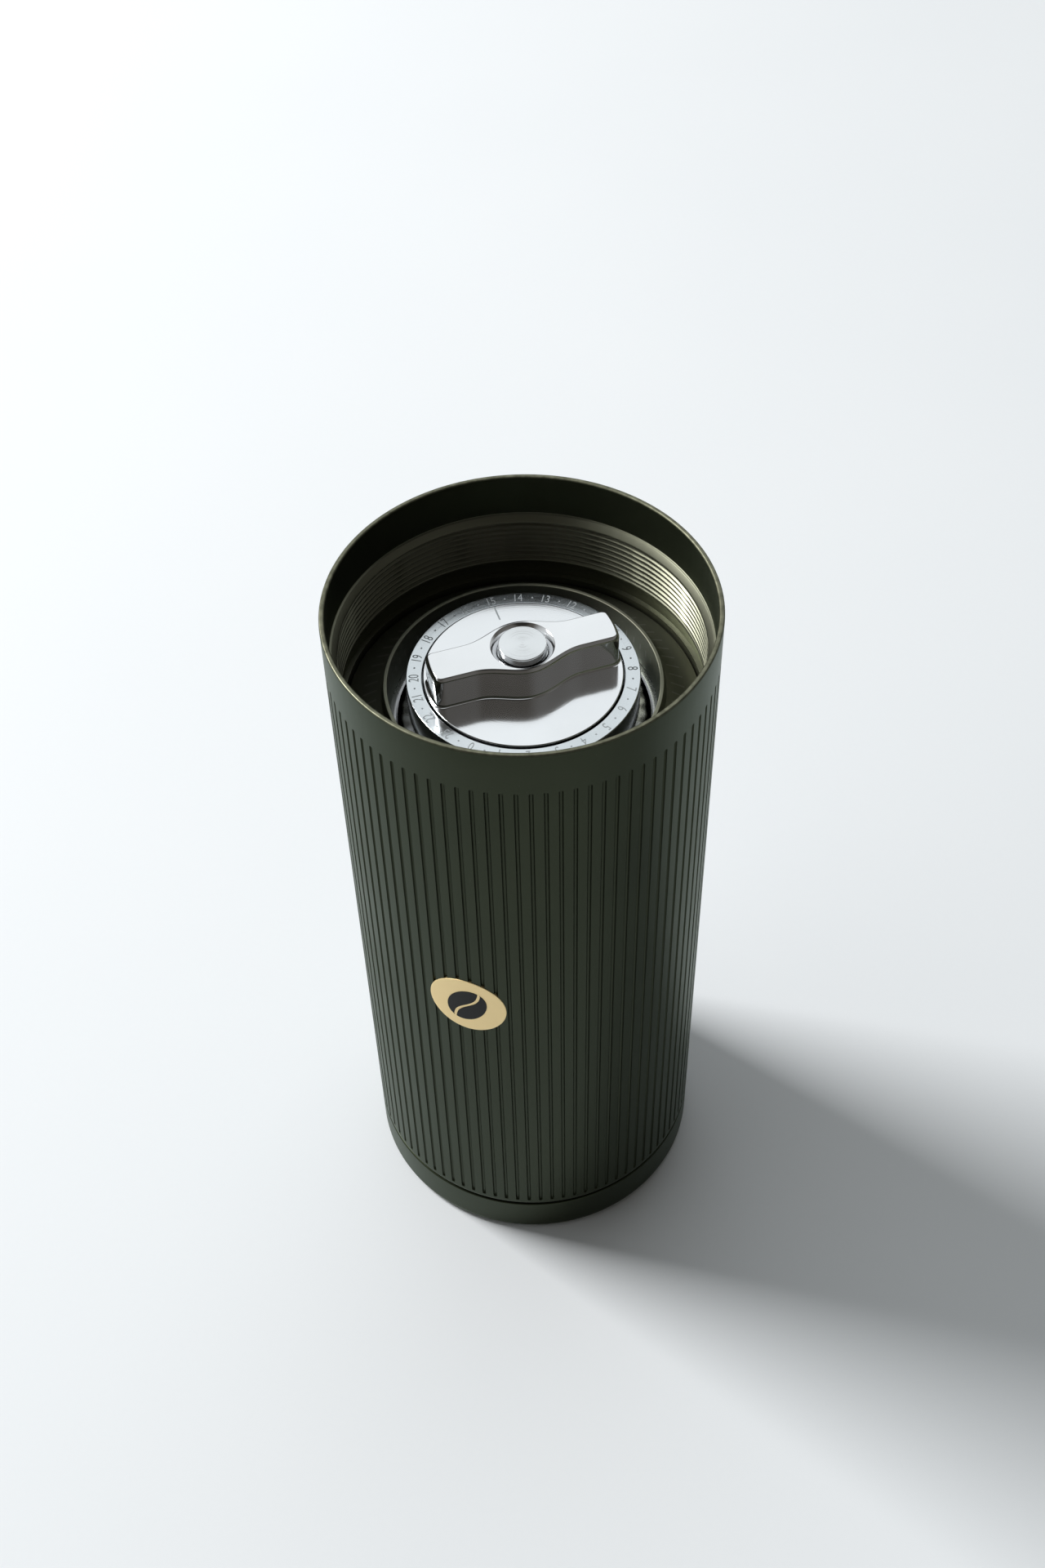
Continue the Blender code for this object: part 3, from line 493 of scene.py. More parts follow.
def makeWalnut(look):
    # rings of a plank run along the knob: bands of distance from a line, pulled by noise, with short pores
    material, tree, shader, place = startMaterial("walnutWood", 0.0, **{"Coat Weight": 0.25, "Coat Roughness": 0.3})
    moved = addNode(tree, "Mapping", {"Vector": place, "Location": look["shift"], "Rotation": look["turn"],
                                      "Scale": (1.0, look["along"], 1.0)})[0]
    bent = vectorNode(tree, "ADD", moved, vectorNode(tree, "SCALE", noise(tree, moved, 90.0, 3.0)[1], look["pull"]))
    rings = addNode(tree, "TexWave", {"Vector": bent, "Scale": look["rings"], "Distortion": 3.0, "Detail": 2.0},
                    wave_type="RINGS", rings_direction="Y")[1]
    pores = remap(tree, noise(tree, moved, 1500.0, 3.0)[0], 0.58, 0.68)
    shade = mixColours(tree, rings, colour(look["dark"]), colour(look["light"]))
    shade = mixColours(tree, mathNode(tree, "MULTIPLY", pores, look["poreShare"]), shade, colour(look["pore"]))
    linkInputs(tree, shader, {"Base Color": shade, "Roughness": remap(tree, rings, 0.0, 1.0, *look["rough"])})
    addBump(tree, shader, mathNode(tree, "SUBTRACT", 1.0, pores), 0.25, 0.00004)
    return material


walnut = makeWalnut(walnutLook)
slotMaterials = {
    "olive_anodised": oliveBody, "ground_steel": plain["groundSteel"], "burr_steel": plain["burrSteel"],
    "polished_steel": metals["dialSteel"], "bare_aluminium": plain["blastedAluminium"], "brass": plain["brassMetal"],
    "bronze": plain["bronzeMetal"], "badge_gold": plain["badgeGold"], "black_rubber": plain["sealRubber"],
    "white_polymer": plain["acetal"], "walnut": walnut}

# every CAD node gets its slot's material; the ones that show are replaced further down
for row in frame["record"]["subparts"]:
    node = frame["nodes"][row["node"]]
    node.data.materials.clear()
    node.data.materials.append(slotMaterials[row["material_slot"]])
print("materials built:", len(bpy.data.materials))


shellSizes = {
    "radius": 28.99, "flutes": 88, "firstFlute": 1.2, "fluteWidth": 0.65, "fluteDepth": 0.35, "fluteLow": 10.2, "fluteHigh": 122.4,
    "threadCrest": 27.1, "threadRoot": 27.52, "threadPitch": 1.0, "threadLow": 113.9, "threadHigh": 122.0, "threadRise": 0.0625,
    # outside, as (radius, height): the foot's edge and the rim's; heights of the straight wall between
    "foot": [(28.6, 9.0), (28.66, 9.02), (28.89, 9.2), (28.98, 9.4)],
    "rim": [(28.98, 129.86), (28.93, 130.0), (28.83, 130.08), (28.76, 130.1)],
    "belowFlutes": (9.6, 10.05), "amongFlutes": (11.5, 121.2, 9), "aboveFlutes": (122.6, 126.0, 129.7),
    # bore: its mouth down to the thread, then its steps down to the foot
    "mouth": [(28.45, 130.1), (28.35, 130.07), (28.2, 129.93), (28.17, 129.8), (28.17, 129.5), (28.17, 123.3), (28.16, 123.08),
              (28.08, 123.0), (27.85, 123.0), (27.8, 122.97), (27.2, 122.1)],
    "steps": [(27.15, 113.8), (27.85, 113.6), (27.9, 113.5), (27.9, 111.2), (27.85, 110.9), (27.1, 110.8), (27.1, 110.6),
              (27.1, 105.1), (27.05, 105.0), (26.25, 105.0), (26.2, 104.9), (26.2, 86.1), (26.15, 86.0), (25.45, 86.0),
              (25.4, 85.9), (25.4, 20.1), (25.45, 20.0), (26.15, 20.0), (26.2, 19.9), (26.2, 14.0), (26.25, 13.9),
              (26.85, 13.9), (26.9, 13.8), (26.9, 12.7), (26.85, 12.6), (26.25, 12.6), (26.2, 12.5), (26.2, 9.2), (26.35, 9.0)]}


def fluteDepth(angle, z, size):
    # d = distance from the flute's centre line (a segment in z) over half its width; depth = full * (1 - d^4)
    step = 2 * math.pi / size["flutes"]
    first = math.radians(size["firstFlute"])
    across = ((angle - first + step / 2) % step - step / 2) * size["radius"]
    half = size["fluteWidth"] / 2
    past = np.maximum(np.maximum(z - (size["fluteHigh"] - half), (size["fluteLow"] + half) - z), 0)
    distance = np.hypot(across, past) / half
    return size["fluteDepth"] * np.clip(1 - distance**4, 0, 1)


def threadRadius(angle, z, size):
    # trapezoid wave of z minus the helix's rise; it fades to the crest at both ends of the thread
    phase = (z / size["threadPitch"] - angle / (2 * math.pi)) * 2 * math.pi
    wave = np.clip(0.5 + 0.68 * np.sin(phase), 0, 1)
    fade = smoothStep((z - size["threadLow"] - 0.15) / 0.5) * smoothStep((size["threadHigh"] - 0.15 - z) / 0.5)
    return size["threadCrest"] + (size["threadRoot"] - size["threadCrest"]) * wave * fade


def upright(radius, heights):
    return np.stack([np.full(len(heights), radius), heights], -1)


def shellShape(size):
    full, step = size["radius"], 2 * math.pi / size["flutes"]
    # columns lie close together where a flute curves, rows where it ends
    half = size["fluteWidth"] / 2 / full
    inside = np.array([-1.12, -1.0, -0.86, -0.55, 0.0, 0.55, 0.86, 1.0, 1.12]) * half
    one = np.concatenate([inside, [step / 2]])
    angle = (math.radians(size["firstFlute"]) + step * np.arange(size["flutes"])[:, None] + one[None]).ravel()
    outerCount = len(angle)
    end = np.array([0.0, 0.04, 0.1, 0.2, 0.33, 0.5, 0.75, 1.0, 1.15]) * size["fluteWidth"] / 2
    wall = np.concatenate([size["belowFlutes"], size["fluteLow"] + end, np.linspace(*size["amongFlutes"]),
                           (size["fluteHigh"] - end)[::-1], size["aboveFlutes"]])
    outer = np.concatenate([size["foot"], upright(full, wall), size["rim"]])
    radius = outer[:, :1] - fluteDepth(angle[None], outer[:, 1:], size)
    outerPoints = onCircles(radius, angle, outer[:, 1:])
    faces = gridFaces(len(outer), outerCount)
    # the bore has one column for each four of the outside, joined by seven-sided faces on the two flat rims
    innerAngle = angle[::4]
    innerCount = len(innerAngle)
    low, high = size["threadLow"] - 0.01, size["threadHigh"] + 0.01
    bore = np.concatenate([
        size["mouth"], upright(size["threadCrest"], np.arange(size["threadHigh"], low, -size["threadRise"])), size["steps"]])
    height = bore[:, 1:]
    radius = np.where((height > low) & (height < high), threadRadius(innerAngle[None], height, size), bore[:, :1])
    innerPoints = onCircles(radius, innerAngle, height)
    start = outerPoints.size // 3
    faces += gridFaces(len(bore), innerCount, start=start)
    column = np.arange(innerCount)
    outside = (column[:, None] * 4 + np.arange(5)) % outerCount
    following = (column + 1) % innerCount
    topRow = start - outerCount
    faces += np.concatenate([topRow + outside, (start + following)[:, None], (start + column)[:, None]], 1).tolist()
    lastRow = start + (len(bore) - 1) * innerCount
    faces += np.concatenate([outside[:, ::-1], (lastRow + column)[:, None], (lastRow + following)[:, None]], 1).tolist()
    return np.concatenate([outerPoints.reshape(-1, 3), innerPoints.reshape(-1, 3)]), faces


addPiece("bodyShell", shellShape(shellSizes), "grinder_body", "olive_anodised", oliveBody, "body_shell", crease=50, weld=False)
print("body shell built")


badgeSizes = {"angle": -110.7, "height": 69.9, "radius": 6.42, "face": 29.10, "thick": 0.65, "wrap": 29.0, "sides": 96, "beanLong": 4.1,
              "beanWide": 3.05, "beanTurn": -28.0, "slit": 0.5, "wave": 0.62, "bend": 0.9, "proud": 0.05, "sunk": 0.1}


def wrapOnShell(across, up, depth, size):
    # a flat point (across, up) goes round the shell: angle = centre + across / wrap
    angle = math.radians(size["angle"]) + across / size["wrap"]
    return np.stack([depth * np.cos(angle), depth * np.sin(angle), size["height"] + up], -1)


def badgeShape(size):
    # rings of radius q at depth d round the badge's own centre, from the front centre over the rim to the back centre
    rim = np.array([(0, 0), (0.3, 0), (0.7, 0), (0.95, 0), (0.985, 0), (0.996, -0.02), (1.0, -0.06), (1.0, -0.2),
                    (1.0, -size["thick"]), (0.5, -size["thick"]), (0, -size["thick"])])
    around = np.arange(size["sides"]) * 2 * math.pi / size["sides"]
    q = rim[:, :1] * size["radius"]
    points = wrapOnShell(-q * np.cos(around), q * np.sin(around), size["face"] + rim[:, 1:] + 0 * around, size)
    return points.reshape(-1, 3), gridFaces(len(rim), size["sides"])


def beanHalf(size, side):
    # between the ellipse's edge and the wavy slit: across = edge + u * (slit - edge), up = v along the bean
    up = np.sin(np.linspace(-0.47, 0.47, 25) * math.pi)[:, None] * size["beanLong"]
    edge = side * size["beanWide"] * np.sqrt(np.clip(1 - (up / size["beanLong"])**2, 0, 1))
    slit = size["wave"] * np.sin(up / size["beanLong"] * math.pi * size["bend"]) + side * size["slit"] / 2
    slit = np.where(side * slit > side * edge, edge, slit)
    across = edge + (slit - edge) * np.linspace(0, 1, 7)[None]
    flat = spun(np.stack([across, up + 0 * across], -1), size["beanTurn"])
    front, back = (wrapOnShell(flat[..., 0], flat[..., 1], size["face"] + out, size) for out in (size["proud"], -size["sunk"]))
    points, faces = slab(front, back)
    return points, faces if side < 0 else [face[::-1] for face in faces]


addPiece("badgeDisc", badgeShape(badgeSizes), "grinder_body", "badge_gold", plain["badgeGold"], "badge_plate", outwards=True)
addPiece("badgeBean", joined(beanHalf(badgeSizes, -1), beanHalf(badgeSizes, 1)), "grinder_body", "badge_gold", plain["badgeInk"],
         outwards=True)
print("badge built")


housingSizes = {"wall": 25.9, "hollow": 21.0, "lip": 20.9, "bore": 20.3, "edge": 26.85, "coneEnd": 21.25,
                "bottom": 88.0, "edgeLow": 105.1, "seat": 108.3, "edgeTop": 109.7, "coneTop": 112.9, "top": 115.0}


def housingProfile(size):
    # up the wall, out to the flange's edge, up the cone to the lip, and down the bore
    return rounded([
        (size["wall"], size["bottom"], 0.2), (size["wall"], size["edgeLow"], 0.0), (size["edge"], size["edgeLow"], 0.15),
        (size["edge"], size["edgeTop"], 0.25), (size["coneEnd"], size["coneTop"], 0.3), (size["lip"], size["top"] - 0.05, 0.12),
        (size["bore"], size["top"], 0.12), (size["bore"], size["seat"], 0.0), (size["hollow"], size["seat"], 0.0),
        (size["hollow"], size["bottom"], 0.2)])


addPiece("burrHousing", turned(housingProfile(housingSizes), 240), "grinder_body", "olive_anodised", oliveHousing, "burr_housing")

# burr profiles as (radius, height, share of the teeth's full depth)
burrSizes = {
    "teeth": 42, "pointsPerTooth": 6, "twist": 0.09, "depth": 0.75,
    "ring": [(20.9, 92.1, 0), (20.9, 108.2, 0), (19.5, 108.2, 0), (19.2, 108.1, 0), (19.2, 107.0, 0), (16.65, 103.0, 0.8),
             (15.6, 97.0, 1), (17.6, 92.1, 1)],
    "inner": [(6.2, 87.2, 0), (7.4, 87.2, 0.8), (9.0, 92.0, 1), (12.5, 98.0, 1), (16.0, 103.0, 0.9), (18.6, 107.3, 0.45),
              (18.6, 108.4, 0.3), (18.3, 108.5, 0), (6.2, 108.5, 0)]}


def denser(profile, steps):
    # points added evenly along each straight of a closed profile
    profile = np.asarray(profile, float)
    ahead = np.roll(profile, -1, 0)
    t = (np.arange(steps) / steps)[None, :, None]
    return (profile[:, None] + (ahead - profile)[:, None] * t).reshape(-1, profile.shape[1])


def toothed(corners, size, sign):
    # r = r(z) + sign * depth(z) * saw(teeth * angle / 2 pi + twist * z), depth rising from the wide end to the narrow one
    profile = denser(corners, 4)
    columns = size["teeth"] * size["pointsPerTooth"]
    angle = np.arange(columns) * 2 * math.pi / columns
    radius, height, depth = profile[:, :1], profile[:, 1:2], profile[:, 2:3]
    saw = (angle[None] * size["teeth"] / (2 * math.pi) + size["twist"] * height) % 1.0
    cut = depth * size["depth"] * np.where(saw < 0.8, saw / 0.8, (1 - saw) / 0.2)
    return onCircles(radius + sign * cut, angle, height).reshape(-1, 3), gridFaces(len(profile), columns, wrapRows=True)


addPiece("ringBurr", toothed(burrSizes["ring"], burrSizes, 1), "grinder_body", "burr_steel", plain["burrSteel"], "ring_burr")
addPiece("innerBurr", toothed(burrSizes["inner"], burrSizes, -1), "burr_carriage", "burr_steel", plain["burrSteel"], "inner_burr")
print("burr housing and burrs built")


scaleSizes = {"outer": 17.43, "inner": 15.1, "hole": 8.6, "bottom": 110.6, "floor": 111.6, "top": 116.2, "numbers": 24, "first": -118.5,
              "digitHeight": 1.55, "digitNarrow": 0.72, "middle": 16.27, "dot": 0.15, "proud": 0.012}


def ringProfile(size):
    return rounded([
        (size["hole"], size["bottom"], 0), (size["outer"], size["bottom"], 0.15), (size["outer"], size["top"], 0.14),
        (size["inner"], size["top"], 0.08), (size["inner"], size["floor"], 0), (size["hole"], size["floor"], 0)])


addPiece("scaleRing", turned(ringProfile(scaleSizes), 256), "burr_carriage", "polished_steel", metals["ringSteel"], "scale_ring")


def textShape(body):
    # the closed flat solid of a number, centred, one unit high, as (points, faces)
    curve = bpy.data.curves.new("digits", "FONT")
    curve.body, curve.resolution_u, curve.extrude = body, 3, 0.02
    text = bpy.data.objects.new("digits", curve)
    bpy.context.scene.collection.objects.link(text)
    bpy.context.view_layer.update()
    mesh = text.evaluated_get(bpy.context.evaluated_depsgraph_get()).to_mesh()
    points = np.zeros(len(mesh.vertices) * 3)
    mesh.vertices.foreach_get("co", points)
    faces = [list(face.vertices) for face in mesh.polygons]
    bpy.data.objects.remove(text)
    bpy.data.curves.remove(curve)
    points = points.reshape(-1, 3)
    low, high = points.min(0), points.max(0)
    return (points - (low + high) / 2) / (high[1] - low[1]), faces


def onRing(shape, angle, size):
    # across runs clockwise, up runs outwards: point = (middle + up) * out + across * side
    points, faces = shape
    out = np.array([math.cos(angle), math.sin(angle)])
    side = np.array([math.sin(angle), -math.cos(angle)])
    flat = (size["middle"] + points[:, 1:2]) * out + points[:, :1] * side
    high = np.where(points[:, 2:] > 0, size["top"] + size["proud"], size["top"] - 0.05)
    return np.concatenate([flat, high], 1), faces


def dotShape(radius, sides=12):
    around = np.arange(sides) * 2 * math.pi / sides
    outline = np.stack([radius * np.cos(around), radius * np.sin(around)], -1)
    return carried(outline, [(0, -1), (0, 1)])


def scaleMarks(size):
    shapes = []
    for number in range(size["numbers"]):
        angle = math.radians(size["first"] + 360 / size["numbers"] * number)
        points, faces = textShape(str(number))
        points = points * [size["digitHeight"] * size["digitNarrow"], size["digitHeight"], 1]
        dot = onRing(dotShape(size["dot"]), angle + math.pi / size["numbers"], size)
        shapes += [onRing((points, faces), angle, size), dot]
    return joined(*shapes)


addPiece("scaleMarks", scaleMarks(scaleSizes), "burr_carriage", "polished_steel", plain["etchedGrey"])
print("scale ring built")


dialSizes = {
    "radius": 14.86, "groove": 14.0, "bore": 4.5, "bottom": 113.3, "grooveLow": 114.3, "grooveHigh": 115.3, "top": 116.55,
    "turn": 17.0, "half": 3.1, "boss": 2.3, "bossReach": 8.2, "reach": 14.35, "corner": 1.4, "finTop": 122.1, "bevel": 0.46,
    # the fin's fillet as (distance outside its outline, height), then the button's well as (radius, height)
    "fillet": [(0.40, 116.40), (0.38, 116.55), (0.20, 116.58), (0.06, 116.68), (0.01, 116.85), (0.0, 117.1)],
    "well": [(3.80, 121.15), (3.75, 121.06), (3.74, 120.95), (3.74, 120.6), (4.5, 120.6), (4.5, 116.4)],
    "lineHalf": 0.13, "lineFrom": 11.6, "lineTo": 14.62, "lineTurn": 106.6, "lineProud": 0.012}


def discProfile(size):
    outer, groove, bore = size["radius"], size["groove"], size["bore"]
    low, high = size["grooveLow"], size["grooveHigh"]
    return rounded([
        (bore, size["bottom"], 0), (outer, size["bottom"], 0.15), (outer, low, 0), (groove, low, 0), (groove, high, 0),
        (outer, high, 0), (outer, size["top"], 0.14), (bore, size["top"], 0)])


def finOutline(size):
    # half width w(x) = half + boss * (0.03 + 0.97 cos^2(pi x / 2 reach)) near the middle; ends on the disc's own round
    def width(x):
        swell = 0.03 + 0.97 * np.cos(math.pi * x / (2 * size["bossReach"]))**2
        return size["half"] + size["boss"] * np.where(np.abs(x) < size["bossReach"], swell, 0.03)
    corner, reach = size["corner"], size["reach"]
    x = np.linspace(reach - corner, corner - reach, 81)
    side = np.stack([x, width(x)], -1)
    swing = np.linspace(0, math.pi / 2, 8)[1:-1]
    endWidth = width(np.array([reach]))[0]
    turn = np.stack([reach - corner + corner * np.cos(swing), endWidth - corner + corner * np.sin(swing)], -1)
    y = np.linspace(-(endWidth - corner), endWidth - corner, 9)
    flat = np.stack([reach + 0 * y, y], -1)
    quarter = np.concatenate([flat, turn, side, turn[::-1] * [-1, 1]])
    outline = np.concatenate([quarter, -quarter])
    bow = np.hypot(outline[:, 0], outline[:, 1])
    return outline * np.minimum(1, reach / bow)[:, None]


def finShape(size):
    # rows follow the outline up the wall and over the bevel, then circles down the button's well, and close on themselves
    outline = finOutline(size)
    normal = outlineNormals(outline)
    top, bevel = size["finTop"], size["bevel"]
    walls = np.array(size["fillet"] + [
        (0.0, top - bevel - 0.15), (0.0, top - bevel - 0.04), (-0.03, top - bevel + 0.04), (-bevel + 0.05, top - 0.03),
        (-bevel - 0.03, top), (-bevel - 0.15, top)])
    direction = outline / np.linalg.norm(outline, axis=1, keepdims=True)
    circles = np.array([(4.95, top), (4.80, top), (4.72, top - 0.03)] + size["well"])
    flat = np.concatenate([outline[None] + walls[:, None, :1] * normal[None], circles[:, None, :1] * direction[None]])
    height = np.concatenate([walls[:, 1], circles[:, 1]])[:, None, None] + 0 * flat[..., :1]
    points = np.concatenate([spun(flat, size["turn"]), height], -1).reshape(-1, 3)
    return points, gridFaces(len(flat), len(outline), wrapRows=True)


def lineShape(size):
    # a pill-shaped line lying on the disc along the index angle
    half, start, end, top = size["lineHalf"], size["lineFrom"], size["lineTo"], size["top"]
    swing = np.linspace(-math.pi / 2, math.pi / 2, 7)
    right = np.stack([end - half + half * np.cos(swing), half * np.sin(swing)], -1)
    left = np.stack([start + half - half * np.cos(swing), -half * np.sin(swing)], -1)
    return carried(spun(np.concatenate([right, left]), size["lineTurn"]), [(0, top - 0.05), (0, top + size["lineProud"])])


addPiece("dialDisc", turned(discProfile(dialSizes), 256), "dial", "polished_steel", metals["discSteel"], "adjust_dial")
addPiece("dialFin", finShape(dialSizes), "dial", "polished_steel", metals["dialSteel"], "adjust_dial", crease=32)
addPiece("dialIndex", lineShape(dialSizes), "dial", "polished_steel", plain["etchedGrey"])

sealSizes = {"radius": 14.54, "height": 114.8, "halfWide": 0.44, "halfHigh": 0.4}


def sealProfile(size):
    around = np.linspace(0, 2 * math.pi, 24, endpoint=False)
    return np.stack([size["radius"] + size["halfWide"] * np.cos(around), size["height"] + size["halfHigh"] * np.sin(around)], -1)


addPiece("dialSeal", turned(sealProfile(sealSizes), 160), "dial", "black_rubber", plain["sealRubber"], "dial_seal")

buttonSizes = {"radius": 3.57, "collar": 4.3, "bottom": 119.3, "shoulder": 120.45, "top": 122.5}


def buttonProfile(size):
    return rounded([
        (0, size["bottom"], 0), (size["collar"], size["bottom"], 0.1), (size["collar"], size["shoulder"], 0.1),
        (size["radius"], size["shoulder"], 0), (size["radius"], size["top"], 0.13), (0, size["top"], 0)])


addPiece("dialButton", turned(buttonProfile(buttonSizes), 128, closed=False), "button", "polished_steel", metals["buttonSteel"],
         "dial_button")

springSizes = {"radius": 3.5, "wire": 0.45, "low": 115.1, "high": 119.2, "turns": 4.0, "travel": 1.2, "sides": 12}


def springShape(size):
    # round wire along a helix: centre(a) + wire / 2 * (cos b * outward + sin b * across); half a turn lies flat at each end
    angle = np.linspace(0, 2 * math.pi * size["turns"], 121)
    share = np.clip((angle - math.pi) / (angle[-1] - 2 * math.pi), 0, 1)
    height = size["low"] + size["wire"] / 2 + (size["high"] - size["low"] - size["wire"]) * share
    outward = np.stack([np.cos(angle), np.sin(angle), 0 * angle], -1)
    centre = outward * size["radius"] + np.stack([0 * angle, 0 * angle, height], -1)
    across = np.cross(np.gradient(centre, axis=0), outward)
    across /= np.linalg.norm(across, axis=1, keepdims=True)
    sides = size["sides"]
    around = (np.arange(sides) * 2 * math.pi / sides)[None, :, None]
    points = centre[:, None] + size["wire"] / 2 * (np.cos(around) * outward[:, None] + np.sin(around) * across[:, None])
    ends = [list(range(sides))[::-1], list(range(sides * (len(angle) - 1), sides * len(angle)))]
    return points.reshape(-1, 3), gridFaces(len(angle), sides) + ends


# the spring stands in the dial and gets a mesh of its own
buttonSpring = addPiece("buttonSpring", springShape(springSizes), "dial", "ground_steel", plain["groundSteel"], "button_spring",
                        outwards=True)
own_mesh(buttonSpring)
print("dial built")


crankSizes = {"radius": 28.99, "plug": 25.6, "groove": 24.9, "hub": 8.2, "slotHalf": 8.2, "slotFrom": 12.0, "slotHigh": 3.2,
              "foot": [(27.2, 0.0), (27.6, 0.02), (28.1, 0.14), (28.56, 0.44), (28.86, 0.9), (28.97, 1.3)],
              "rimHigh": 8.6, "grooveLow": 9.5, "grooveHigh": 11.3, "top": 12.0}


def discShape(size):
    rim, plug, groove, hub = size["radius"], size["plug"], size["groove"], size["hub"]
    low, high, top = size["grooveLow"], size["grooveHigh"], size["top"]
    return turned(rounded([(hub, 0.0, 0.15)] + [(radius, height, 0.0) for radius, height in size["foot"]] + [
        (rim, 1.6, 0.0), (rim, 2.0, 0.0), (rim, size["rimHigh"], 0.25), (plug, size["rimHigh"], 0.0), (plug, low, 0.0),
        (groove, low, 0.0), (groove, high, 0.0), (plug, high, 0.0), (plug, top, 0.3), (hub, top, 0.15)]), 240)


def boxShape(low, high):
    corners = [(x, y, z) for x in (low[0], high[0]) for y in (low[1], high[1]) for z in (low[2], high[2])]
    return np.array(corners, float), [[0, 1, 3, 2], [4, 6, 7, 5], [0, 4, 5, 1], [2, 3, 7, 6], [0, 2, 6, 4], [1, 5, 7, 3]]


def cutAway(piece, *shapes):
    # each shape is taken out of the piece by a Boolean, whose result becomes the mesh
    for shape in shapes:
        cutter = makePiece("cutter", *shape)
        modifier = piece.modifiers.new("cut", "BOOLEAN")
        modifier.object, modifier.operation, modifier.solver = cutter, "DIFFERENCE", "EXACT"
        bpy.context.view_layer.update()
        cut = bpy.data.meshes.new_from_object(piece.evaluated_get(bpy.context.evaluated_depsgraph_get()))
        piece.modifiers.clear()
        piece.data = cut
        bpy.data.objects.remove(cutter)
    cut.set_sharp_from_angle(angle=math.radians(35))
    return piece


slotShape = boxShape((-crankSizes["slotHalf"], crankSizes["slotFrom"], -2), (crankSizes["slotHalf"], 35, crankSizes["slotHigh"]))
crankDisc = cutAway(makePiece("crankDisc", *discShape(crankSizes)), slotShape)
finishPiece(crankDisc, "drive", "olive_anodised", oliveDisc, "crank_disc")

yokeSizes = {"back": 12.2, "plate": 3.0, "plateEnd": 29.4, "pinY": 33.4, "pinZ": 4.2, "round": 4.2, "outer": 8.0, "inner": 5.1,
             "gapFrom": 29.35, "bevel": 0.25, "pinHole": 1.6, "screwHole": 1.6, "countersink": 2.8, "sunk": 1.6, "screws": (16.5, 24.0)}


def yokeShape(size):
    # side outline in (y, z): a flat plate that ends in a round about the pin, carried across with bevelled edges
    swing = np.radians(np.linspace(-90, 150, 49))
    end = np.stack([size["pinY"] + size["round"] * np.cos(swing), size["pinZ"] + size["round"] * np.sin(swing)], -1)
    outline = np.concatenate([[(size["back"], 0.0)], end, [(size["plateEnd"], size["plate"]), (size["back"], size["plate"])]])
    bevel, outer = size["bevel"], size["outer"]
    half = [(-bevel - 0.1, outer), (-bevel, outer), (-0.3 * bevel, outer - 0.3 * bevel), (0, outer - bevel), (0, outer - bevel - 0.1)]
    points, faces = carried(outline, [(d, -h) for d, h in half] + half[::-1])
    return alongX(points, 0, 0), faces


def rodShape(radius, low, high):
    return turned([(0, low), (radius, low), (radius, high), (0, high)], 48, closed=False)


def yokeCuts(size):
    # the gap between the ears, the pin's hole, and a countersunk hole for each screw
    pinPoints, rodFaces = rodShape(size["pinHole"], -10, 10)
    cuts = [boxShape((-size["inner"], size["gapFrom"], -1), (size["inner"], 40, 10)),
            (alongX(pinPoints, size["pinY"], size["pinZ"]), rodFaces)]
    for y in size["screws"]:
        for radius, high in ((size["screwHole"], 4), (size["countersink"], size["sunk"])):
            points, faces = rodShape(radius, -1, high)
            cuts.append((points + [0, y, 0], faces))
    return cuts


crankYoke = cutAway(makePiece("crankYoke", *yokeShape(yokeSizes)), *yokeCuts(yokeSizes))
finishPiece(crankYoke, "drive", "ground_steel", plain["groundSteel"], "crank_yoke")

hubSizes = {"radius": 8.0, "thick": 1.2, "dish": 3.4, "dishDeep": 0.25}


def hubProfile(size):
    return rounded([
        (0, size["dishDeep"], 0), (size["dish"], size["dishDeep"], 0), (size["dish"] + 0.2, 0.0, 0), (size["radius"], 0.0, 0.3),
        (size["radius"], size["thick"], 0), (0, size["thick"], 0)])


addPiece("hubCap", turned(hubProfile(hubSizes), 128, closed=False), "drive", "bare_aluminium", metals["hubMetal"], "hub_cap")

armSizes = {"front": 31.2, "back": 35.6, "bevel": 0.5, "eyeY": 33.4, "eyeZ": 4.2, "eye": 4.0, "eyeHole": 1.6, "eyeHalf": 4.3,
            "wide": 5.6, "neck": 5.2, "end": 7.5, "earsTo": 9.0, "wideFrom": 13.5, "neckAt": 64.0, "knobZ": 86.0}


def armOutline(size):
    # half width x(z): the eye's between the ears, wide above them, less at the neck, then a round about the knob
    ears, wideFrom, neckAt, knob = size["earsTo"], size["wideFrom"], size["neckAt"], size["knobZ"]
    eye, wide, neck, endHalf = size["eyeHalf"], size["wide"], size["neck"], size["end"]
    z = np.concatenate([np.linspace(size["eyeZ"], ears, 5), np.linspace(ears + 0.5, wideFrom, 10), np.linspace(16, 62, 8),
                        np.linspace(neckAt, knob, 18)])
    x = np.select(
        [z < ears, z < wideFrom, z <= neckAt],
        [eye + 0 * z, eye + (wide - eye) * smoothStep((z - ears) / (wideFrom - ears)),
         wide - (wide - neck) * (z - wideFrom) / (neckAt - wideFrom)],
        neck + (endHalf - neck) * smoothStep((z - neckAt) / (knob - neckAt)))
    swing = np.linspace(0, math.pi, 30)[1:-1]
    end = np.stack([endHalf * np.cos(swing), knob + endHalf * np.sin(swing)], -1)
    right = np.stack([x, z], -1)
    return np.concatenate([right, end, right[::-1] * [-1, 1]])


